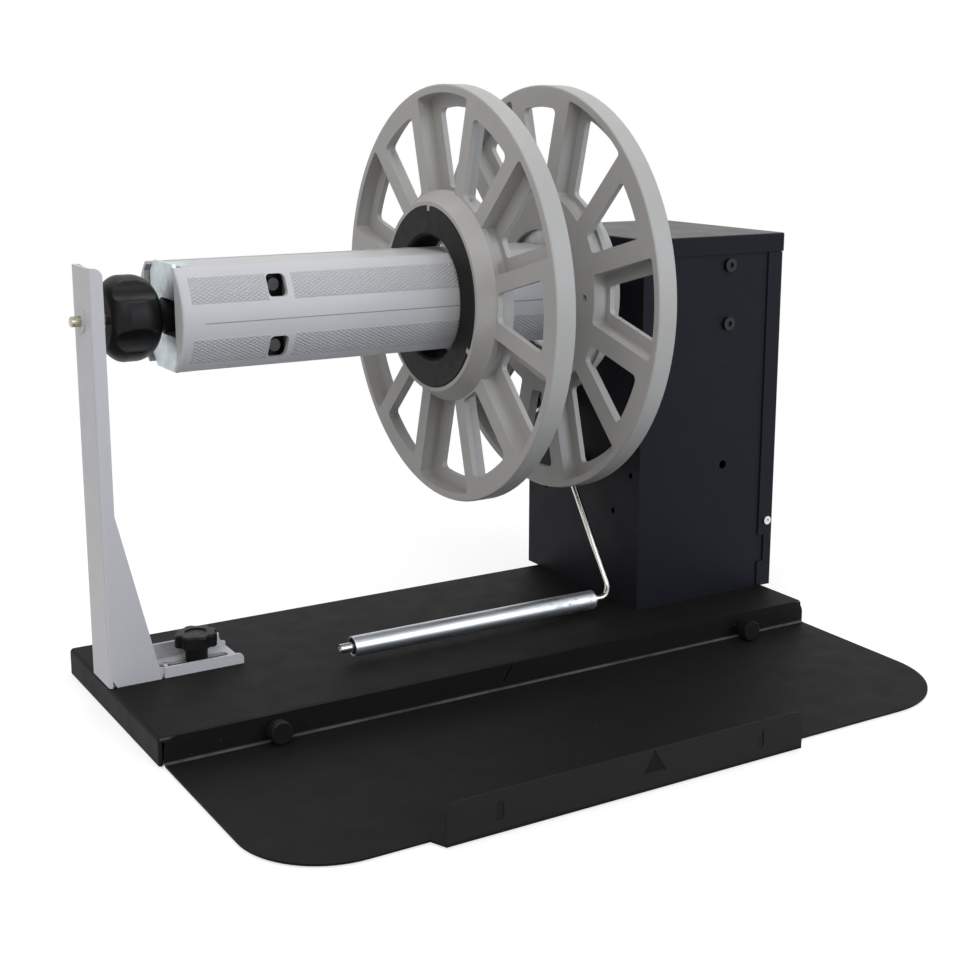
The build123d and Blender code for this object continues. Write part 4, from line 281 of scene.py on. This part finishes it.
def chuck_shell_look(name, colour):
    """The gripping shells: knurled bands above and below a smooth middle, with painted shade in the pits
    and in one engraved line.
    """
    s = Surface(name, 0.44, specular=0.45)
    across = s.math("SUBTRACT", s.axis("Y"), SPINDLE_Y)
    up = s.math("SUBTRACT", s.axis("Z"), SPINDLE_Z)
    arc = s.product(s.math("ARCTAN2", up, s.math("ABSOLUTE", across)), CHUCK_R)
    along = s.axis("X")
    ridges = []
    for slant in (KNURL_SLANT, -KNURL_SLANT):
        turns = s.math("DIVIDE", s.math("MULTIPLY_ADD", arc, slant, along), KNURL_PITCH)
        ridges.append(s.product(s.away(s.math("FRACT", turns), 0.5), 2.0))
    diamonds = s.math("MINIMUM", *ridges)
    band = s.between(s.math("ABSOLUTE", arc), KNURL_ARC)
    band = s.product(band, s.between(along, KNURL_ENDS_X))
    band = s.product(band, s.math("SUBTRACT", 1.0, s.between(along, KNURL_GAP_X)))
    line = s.product(
        s.span(s.away(arc, LINE_ARC), 0.00034, 0.00012), s.span(along, LINE_START_X, LINE_START_X + 0.001)
    )
    flow = s.noise(20.0, 4.0, 0.6, s.scaled(0.6, 1.0, 1.0), 0.3)
    body = s.mix(s.span(flow, 0.38, 0.7, 0.0, 0.35), colour, shade(colour, 0.88))
    # Painted shade: the knurl's pits are painted darker.
    pit_shade = s.product(band, s.math("SUBTRACT", 1.0, s.span(diamonds, 0.0, 0.5)))
    body = s.mix(s.product(pit_shade, 0.12), body, shade(colour, 0.5))
    # Painted shade: the engraved line is painted dark as the shade in its groove.
    body = s.mix(s.product(line, 0.6), body, shade(colour, 0.3))
    s.colour(body)
    s.rough(s.span(s.noise(150.0, 3.0), 0.3, 0.7, 0.38, 0.5))
    s.bump(s.product(s.span(diamonds, 0.0, 0.55), band), KNURL_DEPTH, 1.0)
    s.bump(s.math("SUBTRACT", 1.0, line), 0.0003, 0.9)
    s.bump(s.noise(2400.0, 2.0), 0.00003, 0.6)
    return s.material


def channel_look(name, colour):
    """The chuck's folded box: smooth pale paint, with painted shade where the shells' windows look onto
    it.
    """
    s = Surface(name, 0.45, specular=0.4)
    fine = s.noise(1500.0, 3.0, 0.6)
    body = s.mix(s.span(fine, 0.3, 0.7), shade(colour, 0.96), shade(colour, 1.04))
    off_x = s.away(s.axis("X"), WINDOW_X)
    off_z = s.away(s.away(s.axis("Z"), SPINDLE_Z), WINDOW_RISE)
    # Painted shade: where the shells' windows look onto the channel it is painted near black.
    window_shade = s.product(s.span(off_x, 0.0100, 0.0085), s.span(off_z, 0.0095, 0.0080))
    s.colour(s.mix(window_shade, body, WINDOW_SHADE_PAINT))
    s.rough(s.span(s.noise(60.0, 3.0), 0.3, 0.7, 0.42, 0.5))
    s.bump(fine, 0.00004, 0.8)
    return s.material


def roller_look(name, colour):
    """Turned aluminium tube: rings round it, pale drag marks along it, darker scuffs at the right."""
    s = Surface(name, 0.3, metallic=1.0)
    rings = s.noise(1.0, 3.0, 0.7, s.scaled(1500.0, 12.0, 12.0))
    drags = s.noise(1.0, 4.0, 0.75, s.scaled(22.0, 900.0, 900.0))
    body = s.mix(s.span(drags, 0.42, 0.66), colour, shade(colour, 0.72))
    right = s.span(s.axis("X"), -0.01, 0.035)
    patches = s.noise(330.0, 4.0, 0.7, s.scaled(0.5, 1.0, 1.0))
    scuff = s.product(right, s.span(patches, 0.5, 0.62))
    s.colour(s.mix(s.product(scuff, 0.75), body, shade(colour, 0.3)))
    s.rough(s.math("MULTIPLY_ADD", scuff, 0.25, s.span(drags, 0.35, 0.7, 0.3, 0.5)))
    s.bump(rings, 0.00002, 0.6)
    s.bump(drags, 0.00003, 0.5)
    return s.material


def felt_look(name, colour):
    """Pressed felt: tangled fibres with a soft sheen."""
    s = Surface(name, 0.95, specular=0.2)
    fibres = s.noise(900.0, 5.0, 0.7, s.scaled(1.0, 2.4, 0.8), 1.2)
    s.colour(s.mix(s.span(fibres, 0.3, 0.7), shade(colour, 0.6), shade(colour, 1.4)))
    s.shader.inputs["Sheen Weight"].default_value = 0.4
    s.bump(fibres, 0.0004, 0.9)
    return s.material


# ------------------------------------------------------------------ what each CAD node wears
def dress(material, *names):
    for name in names:
        materials = nodes[name].data.materials
        materials.clear()
        materials.append(material)


dress(
    powder_coat(
        "base_coat", (0.0078, 0.0070, 0.0066), 0.58, 0.08, specks=BLACK_SPECKS,
        # painted highlight along the pan's top-front fold
        fold=(BASE_FRONT_Y + 0.0007, BASE_TOP_Z - 0.0007, 0.0011),
    ),
    "base_pan",
)
dress(
    powder_coat(
        "shelf_coat", (0.0080, 0.0073, 0.0076), 0.57, 0.07, specks=BLACK_SPECKS,
        # painted highlight along the shelf's fold, and painted light on the fence's face
        fold=(BASE_FRONT_Y - 0.0017, SHELF_TOP_Z + 0.0005, 0.0016), fence=(FENCE_BACK_Y, SHELF_TOP_Z),
    ),
    "shelf_plate",
)
dress(
    powder_coat("housing_coat", (0.0088, 0.0092, 0.0140), 0.5, 0.10, specks=HOUSING_SPECKS),
    "housing_shell", "housing_right_cover",
)
dress(
    powder_coat("arm_paint", (0.50, 0.50, 0.53), 0.42, 0.4, 0.00003, contrast=0.035),
    "support_arm", "arm_bush",
)
dress(channel_look("channel_paint", (0.46, 0.46, 0.47)), "chuck_channel")
dress(
    powder_coat(
        # painted highlight on the cap's top face
        "cap_coat", (0.0080, 0.0086, 0.0130), 0.46, 0.09, specks=HOUSING_SPECKS, sheen_top=HOUSING_TOP_Z,
    ),
    "housing_cap",
)
dress(powder_coat("crank_paint", (0.011, 0.011, 0.012), 0.48, 0.2), "crank_arm")
dress(moulded("flange_plastic", (0.385, 0.38, 0.370), 0.45, 0.35), "outer_flange", "inner_flange")
dress(
    chuck_shell_look("shell_plastic", (0.49, 0.495, 0.515)),
    "chuck_shell_front", "chuck_shell_back",
)
dress(
    moulded("knob_plastic", (0.0075, 0.0073, 0.0075), 0.42, 0.16, grain=0.00006),
    "chuck_knob", "knob_neck", "clamp_knob", "crank_grip", "thumbscrew_left", "thumbscrew_right",
    "roller_bushes",
)
dress(
    moulded("ring_plastic", (0.0105, 0.0100, 0.0094), 0.55, 0.15, grain=0.00008),
    "outer_flange_ring", "inner_flange_ring",
)
dress(
    metal("zinc", (0.52, 0.575, 0.60), 0.38, UPRIGHT, blotch=0.1),
    "chuck_end_plate", "bearing_bridge", "wall_plate",
)
dress(metal("yellow_zinc", (0.47, 0.435, 0.34), 0.26, DRAWN), "drawscrew")
dress(metal("nickel", (0.60, 0.585, 0.55), 0.2, EVEN), "dancer_rod")
dress(
    metal("turned_steel", (0.52, 0.52, 0.52), 0.28, TURNED),
    "dancer_hub", "roller_collars", "clamp_nut", "guide_pin", "thumbscrew_inserts", "clamp_stud",
    "bearing_outer_races", "bearing_inner_races", "bearing_balls", "brake_disc", "brake_spring",
    "brake_nut", "spindle_shaft", "spindle_spacer", "grip_axle",
)
dress(roller_look("roller", (0.66, 0.68, 0.72)), "dancer_roller")
dress(
    metal("milled", (0.64, 0.65, 0.66), 0.36, MILLED),
    "spindle_hub_block", "screw_support", "flange_hub", "wedge_nuts",
)
dress(powder_coat("casting", (0.16, 0.165, 0.17), 0.55, grain=0.0003), "bearing_housings")
dress(
    metal("bright_screw", (0.68, 0.68, 0.67), 0.26, TURNED),
    "foot_screws", "housing_base_screws", "cover_screws",
)
dress(metal("guide_screw", (0.055, 0.055, 0.055), 0.24, TURNED), "shell_guide_screws")
dress(
    metal("black_screw", (0.035, 0.035, 0.037), 0.38, TURNED),
    "bridge_screws", "bearing_screws", "flange_hub_screws", "crank_bolt", "dancer_pivot_bolt",
)
dress(felt_look("felt", (0.27, 0.26, 0.24)), "brake_felt")
dress(
    moulded("rubber", (0.014, 0.014, 0.014), 0.72, specular=0.3, grain=0.0001),
    "rubber_feet", "dancer_stop",
)


# ------------------------------------------------------------------ studio
WHITE = (1.0, 1.0, 1.0)
FLOOR_REACH = 12.0
FLOOR_BOUNCE = (0.58, 0.58, 0.58)       # the floor as the object's light meets it
FLOOR_SHADOW = (0.42, 0.42, 0.42)       # the share of the seen floor that takes a shadow
FLOOR_GLOW = 0.68                       # what brings the lit floor up to white
FLOOR_FADE = (0.42, 0.85)               # metres from the middle over which it turns plain white
UNDER_BASE_SHADOW_EDGE = (0.0015, 0.0045)             # inside the base's outline, where the floor's glow fades out as a painted shadow
ROOM_COLOUR = (1.0, 0.985, 0.965)
ROOM_LEVEL = 0.46


def background_rays(tree):
    """1 for rays that show the background: from the camera, through clear pieces and off metal."""
    path = tree.node("ShaderNodeLightPath").outputs
    straight = tree.math("MAXIMUM", path["Is Camera Ray"], path["Is Transmission Ray"])
    return tree.math("MAXIMUM", straight, path["Is Glossy Ray"])


def end_tree(tree, output, others, background):
    """Gives background rays one shader and all other rays another."""
    out = tree.node(output)
    picked = tree.join_shaders("ShaderNodeMixShader", background_rays(tree), others, background)
    tree.link(picked, out.inputs["Surface"])


def studio_floor():
    """A white floor that keeps a soft shadow, fades to plain white and has a painted shadow under the
    base.
    """
    mesh = bpy.data.meshes.new("floor")
    signs = ((-1, -1), (1, -1), (1, 1), (-1, 1))
    mesh.from_pydata([(x * FLOOR_REACH, y * FLOOR_REACH, 0) for x, y in signs], [], [(0, 1, 2, 3)])
    floor = bpy.data.objects.new("floor", mesh)
    bpy.context.scene.collection.objects.link(floor)
    material = bpy.data.materials.new("floor_white")
    material.use_nodes = True
    material.node_tree.nodes.clear()
    tree = Nodes(material.node_tree)
    place = tree.node("ShaderNodeTexCoord").outputs["Object"]
    split = tree.node("ShaderNodeSeparateXYZ")
    tree.link(place, split.inputs[0])
    sides = []
    for number, (low, high) in enumerate(list(zip(*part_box("base_pan")))[:2]):
        off = tree.away(split.outputs[number], (low + high) / 2)
        half = (high - low) / 2
        sides.append(tree.span(off, half - UNDER_BASE_SHADOW_EDGE[0], half - UNDER_BASE_SHADOW_EDGE[1]))
    # Painted shadow: inside the base's outline the floor loses its glow.
    glow = tree.span(tree.product(*sides), 0.0, 1.0, FLOOR_GLOW, 0.0)
    near = tree.join_shaders(
        "ShaderNodeAddShader",
        tree.shader_of("ShaderNodeBsdfDiffuse", FLOOR_SHADOW),
        tree.shader_of("ShaderNodeEmission", WHITE, glow),
    )
    distance = tree.node("ShaderNodeVectorMath", operation="LENGTH")
    tree.link(place, distance.inputs[0])
    fade = tree.span(distance.outputs["Value"], *FLOOR_FADE, curve="SMOOTHSTEP")
    far = tree.shader_of("ShaderNodeEmission", WHITE, 1.0)
    seen = tree.join_shaders("ShaderNodeMixShader", fade, near, far)
    end_tree(
        tree, "ShaderNodeOutputMaterial", tree.shader_of("ShaderNodeBsdfDiffuse", FLOOR_BOUNCE), seen
    )
    floor.data.materials.append(material)


def studio_world():
    """White behind the object; a soft, slightly warm room for all other light."""
    world = bpy.data.worlds.new("studio")
    bpy.context.scene.world = world
    world.use_nodes = True
    world.node_tree.nodes.clear()
    tree = Nodes(world.node_tree)
    room = tree.shader_of("ShaderNodeBackground", ROOM_COLOUR, ROOM_LEVEL)
    white = tree.shader_of("ShaderNodeBackground", WHITE, 1.0)
    end_tree(tree, "ShaderNodeOutputWorld", room, white)


def softbox(name, place, aim, size, power, colour=WHITE):
    lamp = bpy.data.lights.new(name, "AREA")
    lamp.shape = "RECTANGLE"
    lamp.size, lamp.size_y = size
    lamp.energy = power
    lamp.color = colour
    holder = bpy.data.objects.new(name, lamp)
    bpy.context.scene.collection.objects.link(holder)
    holder.location = place
    holder.rotation_euler = (Vector(aim) - Vector(place)).to_track_quat("-Z", "Y").to_euler()


# The photo's camera: turned and raised in degrees, with its lens and optical centre in pixels.
CAMERA_PLACE = (-0.51078, -0.77184, 0.34307)
CAMERA_TURN = (-31.598, 11.926, 0.199)          # azimuth, elevation and roll
PICTURE = 970
FOCAL_LENGTH = 1531.52
OPTICAL_CENTRE = (500.39, 428.94)
SENSOR_MM = 36.0


def studio_camera():
    """The photo's view: a long lens, a little above the spindle, from the front left."""
    azimuth, elevation, roll = (math.radians(value) for value in CAMERA_TURN)
    back = Vector((
        math.sin(azimuth) * math.cos(elevation), -math.cos(azimuth) * math.cos(elevation),
        math.sin(elevation),
    ))
    right = (-back).cross(Vector((0, 0, 1))).normalized()
    up = right.cross(-back)
    turned_right = right * math.cos(roll) + up * math.sin(roll)
    turned_up = up * math.cos(roll) - right * math.sin(roll)
    data = bpy.data.cameras.new("camera")
    data.sensor_width = SENSOR_MM
    data.lens = FOCAL_LENGTH / PICTURE * SENSOR_MM
    data.shift_x = (PICTURE / 2 - OPTICAL_CENTRE[0]) / PICTURE
    data.shift_y = (OPTICAL_CENTRE[1] - PICTURE / 2) / PICTURE
    data.clip_start = 0.01
    data.clip_end = 60.0
    camera = bpy.data.objects.new("camera", data)
    bpy.context.scene.collection.objects.link(camera)
    rotation = Matrix((turned_right, turned_up, back)).transposed()
    camera.matrix_world = Matrix.Translation(Vector(CAMERA_PLACE)) @ rotation.to_4x4()
    bpy.context.scene.camera = camera


studio_floor()
studio_world()
softbox("key", (-1.2, -1.1, 1.7), (0.0, 0.0, 0.12), (1.4, 1.4), 17.0, (1.0, 0.98, 0.95))
softbox("fill", (0.8, -1.8, 0.9), (0.05, 0.0, 0.12), (1.4, 1.2), 19.0, (0.80, 0.89, 1.0))
softbox("top", (0.1, 0.5, 2.0), (0.0, 0.05, 0.1), (1.6, 1.2), 13.0)
studio_camera()
bpy.context.scene.view_settings.view_transform = "Standard"
